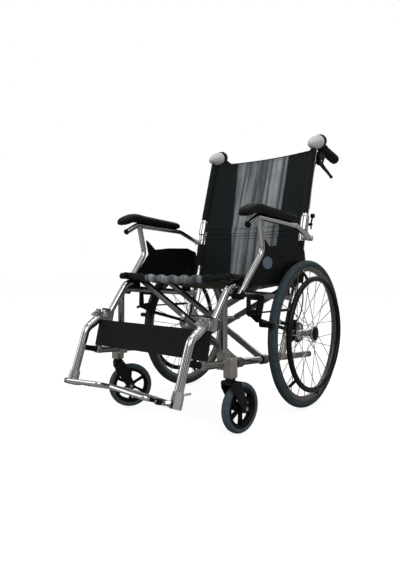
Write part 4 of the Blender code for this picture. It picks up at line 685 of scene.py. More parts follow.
class Finish:
    """A material; its place is the point on the surface in metres, as the piece stands at rest."""

    def __init__(self, name, color, roughness, **values):
        self.material = bpy.data.materials.new(name)
        self.material.use_nodes = True
        self.tree = self.material.node_tree
        self.shader = self.tree.nodes["Principled BSDF"]
        self.place = self.node("TexCoord")["Object"]
        self.set(Base_Color=color, Roughness=roughness, **values)

    def feed(self, socket, value):
        if isinstance(value, Link):
            self.tree.links.new(value.socket, socket)
        else:
            socket.default_value = value

    def set(self, **values):
        for name, value in values.items():
            self.feed(self.shader.inputs[name.replace("_", " ")], value)
        return self

    def node(self, kind, settings=None, *values, **named):
        """Adds a node of any type: its settings first, then the values or links of its sockets."""
        node = self.tree.nodes.new("ShaderNode" + kind)
        for name, value in (settings or {}).items():
            setattr(node, name, value)
        sockets = [socket for socket in node.inputs if socket.enabled]
        for socket, value in zip(sockets, values):
            self.feed(socket, value)
        for name, value in named.items():
            self.feed(next(socket for socket in sockets if socket.name == name.replace("_", " ")), value)
        return Link(self, next(socket for socket in node.outputs if socket.enabled))

    def stretched(self, x, y, z):
        return self.node("VectorMath", {"operation": "MULTIPLY"}, self.place, (x, y, z))

    def clouds(self, scale, detail=3.0, rough=0.55, along=None):
        return self.node("TexNoise", {}, Vector=along or self.place, Scale=scale, Detail=detail, Roughness=rough)

    def cells(self, scale, feature="F1"):
        return self.node("TexVoronoi", {"feature": feature}, Vector=self.place, Scale=scale)

    def range(self, value, low, high):
        """From 0 to 1 as the value goes from low to high."""
        return self.node("MapRange", {"clamp": True}, value, low, high, 0.0, 1.0)

    def mix(self, share, first, second):
        return self.node("Mix", {"data_type": "RGBA"}, Factor=share, A=first, B=second)

    def axes(self):
        split = self.node("SeparateXYZ", {}, self.place)
        return split["X"], split["Y"], split["Z"]

    def wave(self, value, pitch, phase=0.0):
        """A smooth rise and fall from 0 to 1 along a distance."""
        turn = value * (2 * pi / pitch) + phase
        return turn.math("SINE", turn) * 0.5 + 0.5

    def bump(self, height, depth):
        self.set(Normal=self.node("Bump", {}, Height=height, Distance=depth, Strength=1.0))
        return self


def bare_metal(name, color, rough, haze=0.1):
    """Metal with faint handling marks: duller patches, and a fine grain that spreads its highlights."""
    finish = Finish(name, color, rough, Metallic=1.0)
    patches = finish.clouds(22, 4)
    marks = finish.clouds(900, 2)
    scuffs = finish.range(finish.clouds(160, 4, 0.7), 0.58, 0.72)
    finish.set(Base_Color=finish.mix(patches, color, shaded(color, 0.9)),
               Roughness=rough + haze * (patches - 0.4) + 0.05 * (marks - 0.5) + 0.06 * scuffs)
    return finish.bump(marks, 0.00001).material


def cast_metal(name, color, rough):
    """Sand-blasted casting under a thin clear paint: fine pits and slightly uneven colour."""
    finish = Finish(name, color, rough, Metallic=0.75, Coat_Roughness=0.35)
    grain = finish.clouds(1500, 3)
    uneven = finish.clouds(35, 4)
    finish.set(Base_Color=finish.mix(finish.range(uneven, 0.35, 0.7), color, shaded(color, 0.74)),
               Roughness=rough + 0.14 * (grain - 0.5), Coat_Weight=0.15 + 0.2 * uneven)
    return finish.bump(grain + uneven * 2, 0.00012).material


def moulded(name, color, rough, grain=0.00006, scale=1100, lift=0.05):
    """Moulded plastic with a spark-eroded grain, a little paler where hands and edges rub it."""
    finish = Finish(name, color, rough, Specular_IOR_Level=0.12)
    cells = finish.cells(scale)["Distance"]
    soft = finish.clouds(30, 4)
    rubbed = finish.range(finish.clouds(75, 5, 0.65), 0.52, 0.75)
    finish.set(Base_Color=finish.mix(rubbed * 0.45, color, shaded(color, 1 - 0.2 * lift, 0.1 * lift)),
               Roughness=rough + 0.1 * (soft - 0.5) - 0.07 * rubbed)
    return finish.bump(cells + soft, grain).material


def enamel(name, color, rough):
    """Stove enamel on steel: even and satin, with the slight waviness of a sprayed coat."""
    finish = Finish(name, color, rough, Specular_IOR_Level=0.2, Coat_Roughness=0.15)
    peel = finish.clouds(420, 2)
    dust = finish.range(finish.clouds(60, 5, 0.6), 0.5, 0.8)
    finish.set(Base_Color=finish.mix(dust * 0.6, color, shaded(color, 1.5, 0.006)),
               Coat_Weight=0.12 - 0.08 * dust, Roughness=rough + 0.12 * dust)
    return finish.bump(peel, 0.00004).material


def rubber(name, color, dusty, center=None):
    """Solid tyre rubber: matt and slightly dusty; with a wheel's centre given, it has cross cuts in its tread."""
    finish = Finish(name, color, 0.72, Specular_IOR_Level=0.18)
    grain = finish.clouds(1300, 3)
    dust = finish.range(finish.clouds(45, 5, 0.6), 0.42, 0.72)
    height = grain * 0.25
    if center:
        x, y, z = finish.axes()
        y, z = y - center[0], z - center[1]
        radius = (y * y + z * z) ** 0.5
        around = y.math("ARCTAN2", y, z)
        cuts = finish.range(finish.wave(around * WHEEL_R, 0.0078), 0.8, 0.93)
        tread = finish.range(radius, WHEEL_R - 0.0035, WHEEL_R - 0.0015)
        rings = finish.range(finish.wave(radius, 0.0036), 0.82, 0.95)
        height = height - cuts * tread * 3.0 + rings * (1 - tread) * 0.5
    finish.set(Base_Color=finish.mix(dust * 0.55, color, dusty), Roughness=0.66 + 0.16 * dust)
    return finish.bump(height, 0.00022).material


def woven(name, color, dark, streaks=None):
    """Coated nylon: a plain weave that runs across and up the chair, with or without woven upright streaks."""
    finish = Finish(name, color, 0.78, Specular_IOR_Level=0.2, Sheen_Weight=0.04, Sheen_Roughness=0.45)
    x, y, z = finish.axes()
    up = z - y
    first, second = [finish.wave(x, 0.0011, phase) * finish.wave(up, 0.0022, phase) for phase in (0.0, pi)]
    over = first + second
    slub = finish.clouds(9, 2, along=finish.stretched(60, 8, 8))
    uneven = finish.clouds(18, 5)
    base = finish.mix(over * 0.8, dark, color)
    if streaks:
        thread = finish.clouds(1.0, 5, 0.75, along=finish.stretched(260, 6, 6))
        broad = finish.clouds(1.0, 2, 0.5, along=finish.stretched(58, 1.6, 1.6))
        light = finish.range(thread * 0.5 + broad * 0.72, 0.5, 0.76)
        base = finish.mix(light, base, finish.mix(over * 0.5, streaks, color))
    worn = finish.mix(finish.range(uneven, 0.35, 0.75) * 0.35, base, dark)
    finish.set(Base_Color=worn, Roughness=0.7 + 0.16 * slub)
    return finish.bump(over + slub * 0.8, 0.00022).material


def leathercloth(name, color, pale):
    """Soft upholstery vinyl with a fine leather grain and a low sheen."""
    finish = Finish(name, color, 0.42, Specular_IOR_Level=0.16)
    creases = finish.cells(420.0, "DISTANCE_TO_EDGE")
    pores = finish.clouds(1600, 2)
    uneven = finish.clouds(26, 4)
    finish.set(Base_Color=finish.mix(finish.range(uneven, 0.4, 0.8) * 0.5, color, pale),
               Roughness=0.4 + 0.16 * uneven + 0.1 * (pores - 0.5))
    return finish.bump(finish.range(creases, 0.0, 0.16) + pores * 0.3, 0.00014).material


def webbing(name, color, dark):
    """Woven tape: ribs across it, close together, and a furry edge."""
    finish = Finish(name, color, 0.8, Specular_IOR_Level=0.2, Sheen_Weight=0.04, Sheen_Roughness=0.5)
    x, y, z = finish.axes()
    ribs = finish.wave(x, 0.0021) * 0.65 + finish.wave(z - y * 0.3, 0.0017) * 0.35
    uneven = finish.clouds(24, 4)
    finish.set(Base_Color=finish.mix(ribs * 0.55 + uneven * 0.3, dark, color), Roughness=0.76 + 0.1 * uneven)
    return finish.bump(ribs, 0.0003).material


POLISHED = bare_metal("polished_aluminium", tint(222, 221, 219), 0.13)
SATIN = bare_metal("satin_aluminium", tint(176, 173, 169), 0.26, haze=0.12)
ANODISED = bare_metal("anodised_brace", tint(134, 132, 130), 0.32, haze=0.14)
RIM_METAL = bare_metal("rim_aluminium", tint(140, 138, 128), 0.33, haze=0.12)
CAST = cast_metal("cast_aluminium", tint(184, 180, 173), 0.36)
CHROME = bare_metal("chromed_steel", tint(214, 214, 214), 0.1, haze=0.05)
SPOKE_STEEL = bare_metal("spoke_steel", tint(188, 188, 186), 0.22)
TYRE_RUBBER = rubber("slate_tyre", tint(54, 66, 71), tint(78, 90, 95), (MOVE.y, WHEEL_R))
CASTER_RUBBER = rubber("caster_tyre_rubber", tint(68, 80, 88), tint(94, 104, 110))
BLACK_RUBBER = rubber("black_rubber", tint(20, 20, 22), tint(36, 37, 39))
BLACK_PLASTIC = moulded("black_plastic", tint(16, 17, 18), 0.4)
CASTER_BLACK = moulded("caster_wheel_plastic", tint(15, 16, 17), 0.34, grain=0.00003)
GUARD_PLASTIC = moulded("skirt_guard_plastic", tint(9, 11, 12), 0.42, grain=0.0001, scale=800)
PALE_PLASTIC = moulded("pale_cap_plastic", tint(205, 206, 204), 0.4, lift=0.0)
BADGE = moulded("badge_plastic", tint(98, 112, 127), 0.35, lift=0.1)
BLACK_ENAMEL = enamel("black_painted_steel", tint(10, 10, 11), 0.34)
NYLON = woven("black_nylon", tint(23, 31, 33), tint(9, 14, 15))
GREY_WEAVE = woven("grey_streaked_weave", tint(92, 99, 102), tint(50, 56, 59), streaks=tint(186, 191, 194))
# Painted shade: a darker, olive copy of the streaked seat weave, for the seat's downward-facing side, where shade falls
SEAT_UNDERSIDE_SHADE = woven("seat_underside_painted_shade", tint(82, 78, 66), tint(44, 42, 35), streaks=tint(112, 109, 98))
TAPE = webbing("hem_tape", tint(26, 31, 33), tint(11, 13, 15))
STRAP_TAPE = webbing("calf_strap_tape", tint(25, 30, 32), tint(11, 14, 15))
THREAD = moulded("stitching_thread", tint(44, 50, 53), 0.7)
VINYL = leathercloth("pad_vinyl", tint(13, 14, 15), tint(22, 23, 25))


# Rear wheels

def wheel_center(side):
    return Vector((side * WHEEL_X, 0, WHEEL_R))


def rear_tyre(piece, side):
    """The solid tyre: rounded shoulders, and five low ribs round its tread."""
    crown = 28
    tread = []
    for groove in (-0.0062, -0.0021, 0.0021, 0.0062):
        for beside, deep in ((-0.0008, 0.0), (-0.0003, 0.0011), (0.0003, 0.0011), (0.0008, 0.0)):
            along = groove + beside
            tread.append((WHEEL_R - 0.0001 - crown * along ** 2 - deep, along))
    flank = [(0.2294, 0.0085), (0.234, 0.0124), (0.2385, 0.0141), (0.243, 0.0145), (0.2478, 0.013), (0.251, 0.0108)]
    piece.add(TYRE_RUBBER, turned(mirrored(flank, tread), wheel_center(side), (1, 0, 0), 144))


def spoke_line(side, count):
    """Both ends of a spoke: every second one from the inner flange, and each pair leaning the other way."""
    at_rim = 2 * pi * (count + 0.5) / SPOKES
    lead = 1 if count % 4 < 2 else -1
    if count % 2 == 0:
        hub_x, hub_r = HUB_IN + 0.0014 + 0.0005 * lead, HUB_FLANGE_R - 0.004
    else:
        hub_x, hub_r = HUB_OUT - 0.0082 + 0.0013 * lead, HUB_FLANGE_R - 0.0085
    return [wheel_center(side) + Vector((side * x, radius * cos(turn), radius * sin(turn)))
            for x, radius, turn in ((hub_x, hub_r, at_rim + lead * SPOKE_TURN), (0.0012 * lead, SPOKE_END_R, at_rim))]


def rear_wheel(piece, side):
    """A deep rim, a two-flange hub and the laced spokes with their nipples."""
    center = wheel_center(side)
    flank = [(RIM_INNER, 0.0045), (0.2185, 0.0078), (0.2225, 0.0101), (0.23, 0.0113), (0.2317, 0.0111),
             (0.2317, 0.01), (0.2296, 0.0092)]
    piece.add(RIM_METAL, turned(mirrored(flank), center, (1, 0, 0), 128, 0.0006))
    a, b = HUB_IN, HUB_OUT
    hub = [(0.0065, a), (HUB_FLANGE_R, a), (HUB_FLANGE_R, a + 0.0028), (0.015, a + 0.005), (0.0112, a + 0.01),
           (0.0122, 0.006), (0.014, 0.013), (0.0262, b - 0.0062), (0.028, b - 0.005), (0.028, b - 0.0004),
           (0.0262, b), (0.0065, b)]
    piece.add(POLISHED, turned(hub, center, (side, 0, 0), 64, 0.0007))
    cap = [(0.0066, b - 0.002), (0.0066, b + 0.0008), (0.01, b + 0.0022), (0.02, b + 0.002), (0.0226, b + 0.0008),
           (0.023, b - 0.002)]
    piece.add(BLACK_PLASTIC, turned(cap, center, (side, 0, 0), 48, 0.0004))
    head = [(0.0, -0.001), (0.0019, -0.0006), (0.0022, 0.0006), (0.0012, 0.0016), (0.0, 0.0018)]
    nipple = [(0.0, 0.0), (0.0013, 0.0002), (0.0018, 0.005), (0.0022, 0.0115), (0.0, 0.0118)]
    for count in range(SPOKES):
        start, end = spoke_line(side, count)
        run = (end - start).normalized()
        piece.add(SPOKE_STEEL, rod(start, end, 0.00125, 8), lathe(nipple, end - run * 0.0085, run, 10))
        piece.add(CHROME, lathe(head, start, run, 10))


def handrim(piece, side):
    """The black push ring, held off the rim by bent tabs with a screw in each foot."""
    center, face = Vector((side * HANDRIM_X, 0, WHEEL_R)), RIM_FACE_X
    piece.add(BLACK_ENAMEL, ring(center, (1, 0, 0), HANDRIM_R, HANDRIM_TUBE_R, 144, 20))
    strip = [(face, 0.2275), (face, 0.219), (0.2975, 0.192), (0.3005, 0.194), (face + 0.0028, 0.2225),
             (face + 0.0028, 0.2275)]
    strip = rounded([(side * x, y) for x, y in strip], 0.0011)
    for count in range(HANDRIM_TABS):
        turn = Matrix.Translation((0, 0, WHEEL_R)) @ Matrix.Rotation(2 * pi * (count + 0.25) / HANDRIM_TABS, 4, "X")
        piece.add(BLACK_ENAMEL, plate(strip, 0.012, turn @ Matrix.Rotation(pi / 2, 4, "X")))
        piece.add(CHROME, screw_head(turn @ Vector((side * (face + 0.0026), 0, 0.2248)), (side, 0, 0), 0.0032))


# Casters

def caster_wheel(piece, side):
    """The moulded caster wheel: a dished rim with six tapered spokes and a stepped hub."""
    center, axis = caster_axle(side)
    rim = mirrored([(0.048, 0.008), (0.05, 0.0108), (0.059, 0.011)]) + [(0.0492, 0.0)]
    hub = mirrored([(0.0045, 0.0178), (0.0098, 0.0178), (0.0135, 0.014)], [(0.0148, 0.0)])
    piece.add(CASTER_BLACK, turned(rim, center, axis, 80, 0.0012), turned(hub, center, axis, 40, 0.001))
    spoke = mirrored([(0.01, 0.0058), (0.024, 0.0036), (0.05, 0.0052)])
    web = mirrored([(0.012, 0.0012), (0.049, 0.0012)])
    for count in range(CASTER_SPOKES):
        place = on_axis(center, axis) @ Matrix.Rotation(2 * pi * (count + 0.5) / CASTER_SPOKES, 4, "Z")
        piece.add(CASTER_BLACK, plate(spoke, 0.013, place, 0.0012), plate(web, 0.0165, place, 0.0005))


def caster_tyre(piece, side):
    """The smooth rounded tyre, with a fine parting line round its middle."""
    half = CASTER_WIDTH / 2
    flank = [(0.0593, half - 0.003), (0.0625, half - 0.0004), (0.0665, half), (0.0705, half - 0.0024),
             (0.0731, half - 0.0062), (0.0743, 0.003), (CASTER_R - 0.0001, 0.0004)]
    piece.add(CASTER_RUBBER, turned(mirrored(flank, [(CASTER_R - 0.0004, 0.0)]), *caster_axle(side), 96))


def caster_bolts(piece, side):
    """The axle's bolt heads outside the fork."""
    center, axis = caster_axle(side)
    for way in (axis, -axis):
        piece.add(CHROME, *bolt(center + way * (FORK_INSIDE / 2 + FORK_PLATE), way, 0.0062, 0.0042))


# Side frames

def side_frame(piece, side):
    """The welded side: lower tube, upright and rail, front tube, post with its knuckle, cane, plates and lugs."""
    x = side * FRAME_X
    foot, head = post_place(side, POST_FOOT), post_place(side, POST_HEAD)
    tail, corner = (x, TAIL_Y, low(TAIL_Y)), (x, UPRIGHT_Y, low(UPRIGHT_Y))
    piece.add(SATIN, pipe([(x, foot.y, low(foot.y)), tail], TUBE_R),
              pipe([corner, (x, UPRIGHT_Y, rail(UPRIGHT_Y)), (x * 1.004, -0.02, rail(-0.02))], TUBE_R, 0.027),
              pipe([foot, head], TUBE_R))
    piece.add(POLISHED, pipe(front_tube_line(side), TUBE_R, 0.067, 22), pipe(cane_line(side), CANE_R, 0.06, 22))
    plug = [(0.0, 0.0), (TUBE_R + 0.0006, 0.0), (TUBE_R + 0.0008, 0.002), (TUBE_R - 0.0005, 0.0042), (0.0, 0.0052)]
    piece.add(BLACK_PLASTIC, lathe(plug, tail, RAIL_RUN, 28), lathe(plug, head, run_of(post_place, side), 28))
    fork = [(-0.0098, -0.0165), (0.03, -0.0165), (0.033, -0.012), (0.033, 0.019), (0.028, 0.0225), (0.012, 0.0225),
            (-0.0098, 0.015), (-0.0098, 0.008), (0.0165, 0.008), (0.0165, -0.008), (-0.0098, -0.008)]
    piece.add(POLISHED, plate(rounded(fork, 0.0016), 0.017, leaning(post_place(side), POST_LEAN), 0.0009))
    axle = [(-0.082, 0.208), (-0.06, 0.205), (0.012, 0.234), (0.023, 0.255), (0.012, 0.277), (-0.03, 0.319),
            (-0.044, 0.322)]
    piece.add(SATIN, plate(rounded(axle, 0.008), 0.005, side_plane(side * PLATE_X), 0.0009))
    for point in ((-0.06, 0.216), (-0.047, 0.308)):
        piece.add(CHROME, *bolt((side * (PLATE_X + 0.0025), *point), (side, 0, 0), 0.0048))
    rest, bottom = side * (SEAT_RAIL_X - 0.001), rail(REAR_REST_Y) + 0.004
    for x_off, wide, tall, edge in ((-0.0132, 0.0032, 0.036, 0.0012), (0.0132, 0.0032, 0.036, 0.0012),
                                    (0.0, 0.029, 0.0205, 0.0015)):
        place = (rest + x_off, REAR_REST_Y, bottom + tall / 2)
        piece.add(BLACK_PLASTIC, block((wide, 0.0215, tall), place, edge))
    piece.add(POLISHED, rod(arm_center(side, 0.2285), arm_center(side, 0.2482), 0.0085, 24, 0.0012))
    piece.add(CHROME, rod(arm_center(side, 0.238), arm_center(side, 0.27), 0.004, 16))
    y, z = HINGE_POINT[0], FRAME_Z + HINGE_POINT[1]
    lug = rounded([(y - 0.032, z - 0.022), (y, z - 0.0078), (y + 0.0078, z), (y + 0.0035, z + 0.0066),
                   (y - 0.0055, z + 0.002), (y - 0.022, z - 0.003)], 0.0035)
    pin = [(0.0, 0.0), (0.0048, 0.0), (0.0046, 0.0014), (0.0, 0.0022)]
    for way in (-1, 1):
        piece.add(POLISHED, plate(lug, 0.003, side_plane(side * CANE_TOP_X + way * 0.0068), 0.0004))
        piece.add(CHROME, lathe(pin, (side * CANE_TOP_X + way * 0.0083, y, z), (way, 0, 0), 20))
    cane = cane_line(side)
    piece.add(SATIN, weld((x, UPRIGHT_Y, low(UPRIGHT_Y) + TUBE_R), (0, 0, 1), TUBE_R),
              weld(post_place(side, -0.1135), run_of(post_place, side), TUBE_R),
              weld(cane[0] + Vector((0, 0.003, 0.011)), cane[1] - cane[0], CANE_R),
              weld((x * 1.003, -0.04, rail(-0.04)), RAIL_RUN, TUBE_R),
              weld(arm_center(side, 0.233), run_of(arm_center, side), 0.0085, 0.001))


def brace(side):
    """One leg pair of the cross-brace: two square arms, their eyes on the lower tube and the seat rail on top."""
    name = "brace_a" if side > 0 else "brace_b"
    legs = Piece(name)
    half = BRACE_WIDTH / 2
    square = rounded([(-half, -half), (half, -half), (half, half), (-half, half)], 0.0042, radians(22))
    eye = mirrored([(TUBE_R + 0.0005, 0.015), (EYE_R, 0.015)])
    lip = [(TUBE_R + 0.0004, -0.0008), (EYE_R - 0.0012, -0.0008), (EYE_R - 0.0016, 0.0008), (TUBE_R + 0.0004, 0.0008)]
    for y in ARMS_A if side > 0 else ARMS_B:
        foot, top = brace_place(side * FRAME_X, y, 0), brace_place(-side * SEAT_RAIL_X, y, BRACE_H)
        run = (top - foot).normalized()
        legs.add(ANODISED, sweep([foot + run * 0.012, top - run * 0.01], square, up=RAIL_RUN),
                 turned(eye, foot, RAIL_RUN, 36, 0.001), weld(top - run * 0.0125, run, half * 1.05, 0.0012))
        legs.add(BLACK_PLASTIC, *[turned(lip, foot + RAIL_RUN * end, RAIL_RUN, 36) for end in (-0.0152, 0.0152)])
    front, rear = [Vector((-side * SEAT_RAIL_X, y, seat_rail(y))) for y in (SEAT_FRONT_Y, SEAT_REAR_Y)]
    plug = [(0.0, 0.0), (SEAT_RAIL_R + 0.0006, 0.0), (SEAT_RAIL_R + 0.0007, 0.0025), (SEAT_RAIL_R - 0.001, 0.0062),
            (0.0, 0.0074)]
    legs.add(BLACK_ENAMEL, pipe([front, rear], SEAT_RAIL_R))
    legs.add(BLACK_PLASTIC, lathe(plug, front, -RAIL_RUN, 28), lathe(plug, rear, RAIL_RUN, 28))
    if side > 0:
        height = BRACE_H * FRAME_X / (FRAME_X + SEAT_RAIL_X)
        ends = [brace_place(0, y, height) for y in (ARMS_A[0] - 0.0125, ARMS_B[1] + 0.0125)]
        legs.add(CHROME, rod(*ends, 0.0052, 20), *bolt(ends[0] + RAIL_RUN * 0.001, -RAIL_RUN, 0.0075, 0.005),
                 *bolt(ends[1] - RAIL_RUN * 0.001, RAIL_RUN, 0.0075, 0.005))
    return legs.rides(name, "cast_aluminium", name, even=True)


# Folding back

def upper_cane(piece, side):
    """The upper cane, which ends in the handle."""
    line = [back_place(side, 0.004), grip_place(side, 0), grip_place(side, GRIP_END - 0.01)]
    piece.add(POLISHED, pipe(line, CANE_R, 0.035, 22))


def hinge_sleeve(piece, side):
    """The bright sleeve at the folding back's foot, with two raised rings and the hinge's tongue."""
    axis = run_of(back_place, side)
    wall = [(CANE_R + 0.0002, 0.002), (SLEEVE_R - 0.0014, 0.002), (SLEEVE_R, 0.0036), (SLEEVE_R, 0.05),
            (SLEEVE_R - 0.001, 0.056), (CANE_R + 0.001, 0.06), (CANE_R + 0.0002, 0.06)]
    piece.add(POLISHED, turned(wall, back_place(side, 0), axis, 40, 0.001))
    band = [(SLEEVE_R - 0.0006, -0.0007), (SLEEVE_R + 0.00035, 0.0), (SLEEVE_R - 0.0006, 0.0007)]
    piece.add(CHROME, *[turned(band, back_place(side, along), axis, 40) for along in (0.01, 0.047)])
    y, z = HINGE_POINT[0], FRAME_Z + HINGE_POINT[1]
    tongue = [(y - 0.0072, z - 0.002), (y - 0.002, z - 0.0072), (y + 0.0055, z - 0.004), (y + 0.0072, z + 0.002),
              (y + 0.008, z + 0.034), (y - 0.006, z + 0.034), (y - 0.0062, z + 0.008)]
    piece.add(POLISHED, plate(rounded(tongue, 0.0025), 0.0085, side_plane(side * BACK_X), 0.0008),
              rod(back_place(side, 0.032, 0.01, 0.239), back_place(side, 0.032, 0.0255, 0.239), 0.0045, 20))


def push_grip(piece, side):
    """The ribbed rubber grip, and the brake lever's bracket clamped in front of it."""
    start = GRIP_END - GRIP_LENGTH
    profile = [(CANE_R, 0.02), (CANE_R + 0.0036, 0.02), (CANE_R + 0.004, start - 0.002), (GRIP_R + 0.0018, start),
               (GRIP_R + 0.002, start + 0.0016), (GRIP_R + 0.002, start + 0.006), (GRIP_R - 0.001, start + 0.0085)]
    along = start + 0.011
    while along < GRIP_END - 0.014:
        profile += [(GRIP_R + 0.0001, along + 0.0006), (GRIP_R + 0.0003, along + 0.0028),
                    (GRIP_R + 0.0001, along + 0.004), (GRIP_R - 0.0008, along + 0.0048)]
        along += 0.0056
    profile += [(GRIP_R, along + 0.002), (GRIP_R, GRIP_END - 0.006), (GRIP_R - 0.0012, GRIP_END - 0.0022),
                (GRIP_R - 0.0045, GRIP_END - 0.0002), (0.0, GRIP_END)]
    piece.add(BLACK_RUBBER, lathe(profile, grip_place(side, 0.0), run_of(grip_place, side), 48))
    place = leaning(grip_place(side, 0), GRIP_DROP)
    cheek, core = [rounded([(start + x, y) for x, y in outline], 0.004) for outline in (
        [(-0.028, -0.022), (0.012, -0.01), (0.012, -0.034), (-0.002, -0.068), (-0.03, -0.07), (-0.034, -0.034)],
        [(-0.028, -0.02), (0.012, -0.01), (0.012, -0.034), (0.007, -0.0465), (-0.0335, -0.0445), (-0.034, -0.034)])]
    piece.add(BLACK_PLASTIC, plate(core, 0.0158, place, 0.0012))
    for way in (-1, 1):
        piece.add(BLACK_PLASTIC, plate(cheek, 0.0033, place @ Matrix.Translation((0, 0, way * 0.00635)), 0.001))
    piece.add(CHROME, *screw_pair(lever_pivot(side), 0.0079, 0.0038))


def brake_lever(piece, side):
    """The black brake lever: a hub, a flattened blade with a finger's curve, and its ball end."""
    pivot = lever_pivot(side)
    bends = ((0.001, -0.001), (0.03, -0.016), (0.066, -0.029), (0.104, -0.044))
    route = smooth_line([pivot + Vector((0, *step)) for step in bends])
    sizes = [1.25 - 0.45 * share for share in shares(len(route) - 1)]
    half = Vector((0.004, 0, 0))
    ball = [(0.0068 * sin(pi * share), -0.0068 * cos(pi * share)) for share in shares(12)]
    piece.add(BLACK_ENAMEL, sweep(route, oval(0.004, 0.0076, 16), sizes, up=(0, 0.3, 1)),
              rod(pivot - half, pivot + half, 0.0078, 24, 0.0008), lathe(ball, route[-1], (1, 0, 0), 24))


def grip_cap(piece, side):
    """The pale egg-shaped cap over the handle's bend, its nose low in front, with its parting line."""
    axis = Vector((0, cos(CAP_TILT), sin(CAP_TILT)))
    foot = grip_place(side, 0.0) + Vector((0, 0.01, 0.003))
    half, girth = 0.055, 0.0255
    profile = [(girth * sin(turn) * (1 - 0.1 * cos(turn)), -cos(turn) * half)
               for turn in (pi * share for share in shares(44))]
    split = next(count for count, (radius, along) in enumerate(profile) if along > 0.016)
    edge, end = profile[split]
    pale = profile[:split + 1] + [(edge - 0.0016, end + 0.0006), (0.0, end + 0.0006)]
    piece.add(PALE_PLASTIC, lathe(pale, foot, axis, 64))
    front = end + 0.0008
    collar = [(0.0, front), (edge, front), (edge + 0.0012, front + 0.001), (edge + 0.001, 0.039),
              (edge - 0.003, 0.049), (edge - 0.01, 0.054), (0.0, 0.055)]
    piece.add(BLACK_RUBBER, lathe(collar, foot, axis, 48, soft=0.0006))
    for way in (-1, 1):
        seam = [foot + axis * along + Vector((way * radius, 0, 0)) for radius, along in profile[3:split - 2]]
        piece.add(THREAD, sweep(seam, circle(0.00032, 6)))


def smooth_line(points, pieces=6):
    """A smooth curve through the given points."""
    points = [Vector(point) for point in points]
    ends = [points[0] * 2 - points[1], *points, points[-1] * 2 - points[-2]]
    route = []
    for before, start, end, after in zip(ends, ends[1:], ends[2:], ends[3:]):
        for t in shares(pieces)[:-1]:
            route.append(0.5 * ((2 * start) + (end - before) * t + (2 * before - 5 * start + 4 * end - after) * t ** 2
                                + (3 * start - before - 3 * end + after) * t ** 3))
    return route + [points[-1]]


def brake_cable(side):
    """The brake cable in its black sheath, from the lever's bracket down the cane to the drum."""
    x = BACK_X + 0.0005
    beside = CANE_R + CLOTH + 0.0039
    on_back = ((0.25, beside + 0.001, x), (0.17, beside, x), (0.095, beside + 0.002, x),
               (0.062, beside + 0.003, x - 0.01), (0.03, beside + 0.009, x - 0.016),
               (-0.015, beside + 0.009, x - 0.017))
    on_frame = ((0.003, (0.052, 0.36)), (0.0105, (0.036, 0.29)), (0.0165, (0.032, 0.245)), (0.019, (0.031, 0.2)),
                (0.0187, (0.018, 0.158)))
    end = Vector((side * DRUM_X, DRUM_END[0] + 0.0063, DRUM_END[1]))
    route = smooth_line([grip_place(side, GRIP_END - GRIP_LENGTH - 0.0385, -0.055),
                         *[back_place(side, *point) for point in on_back],
                         *[at(side, FRAME_X + out, point) for out, point in on_frame],
                         end + Vector((side * 0.001, 0.012, 0.004)), end + Vector((0, 0.004, 0)), end], 5)
    name = f"brake_cable_{SIDES[side]}"
    cable = Piece(name).add(BLACK_PLASTIC, sweep(route, circle(CABLE_R, 12))).stands("black_plastic", name)
    length = sum((b - a).length for a, b in zip(route, route[1:]))
    path = [tuple(point + MOVE) for point in route]
    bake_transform(cable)


# Armrests

def armrest_frame(piece, side):
    """The bright armrest tube with its leaning front post, pivot boss and black stub end."""
    stub, front = at(side, ARM_X + 0.001, ARM_STUB), at(side, ARM_X + 0.001, ARM_FRONT)
    arm = [stub, front, at(side, ARM_X, ARM_REAR), at(side, ARM_X, ARM_PIVOT)]
    post = [at(side, ARM_X + 0.001, ARM_POST_TOP), at(side, ARM_X - 0.0027, ARM_KNEE), at(side, ARM_FOOT_X, ARM_FOOT)]
    piece.add(POLISHED, pipe(arm, ARM_TUBE_R, 0.03, 20), pipe(post, ARM_TUBE_R, 0.04, 20),
              rod(arm_center(side, ARM_X - 0.009), arm_center(side, ARM_X + 0.009), 0.0105, 28, 0.0014))
    lean = post[1] - post[0]
    piece.add(SATIN, weld(post[0] + lean.normalized() * 0.0105, lean, ARM_TUBE_R, 0.0011))
    tip = [(0.0, -0.001), (ARM_TUBE_R + 0.0006, -0.001), (ARM_TUBE_R + 0.0009, 0.001), (ARM_TUBE_R - 0.0003, 0.0045),
           (0.0055, 0.0062), (0.0, 0.0066)]
    piece.add(BLACK_PLASTIC, lathe(tip, stub, (stub - front).normalized(), 28))
    washer = [(0.003, 0.0), (0.0078, 0.0), (0.0078, 0.001), (0.003, 0.001)]
    piece.add(CHROME, turned(washer, arm_center(side, ARM_X + 0.0091), run_of(arm_center, side), 24))


def arm_top(y):
    share = (y - ARM_FRONT[0]) / (ARM_REAR[0] - ARM_FRONT[0])
    return FRAME_Z + ARM_FRONT[1] + (ARM_REAR[1] - ARM_FRONT[1]) * share + ARM_TUBE_R


def between(stations, place):
    """Smoothly between the stations, each a place followed by its values."""
    for k, (first, last) in enumerate(zip(stations, stations[1:])):
        if place <= last[0] or k == len(stations) - 2:
            span = last[0] - first[0]
            t = max(0.0, min(1.0, (place - first[0]) / span))
            before = stations[max(k - 1, 0)]
            after = stations[min(k + 2, len(stations) - 1)]
            values = []
            for b, p, q, a in zip(before[1:], first[1:], last[1:], after[1:]):
                low_slope = (q - b) / (last[0] - before[0]) * span
                high_slope = (a - p) / (after[0] - first[0]) * span
                values.append((2 * t ** 3 - 3 * t ** 2 + 1) * p + (t ** 3 - 2 * t ** 2 + t) * low_slope
                              + (3 * t ** 2 - 2 * t ** 3) * q + (t ** 3 - t ** 2) * high_slope)
            return values


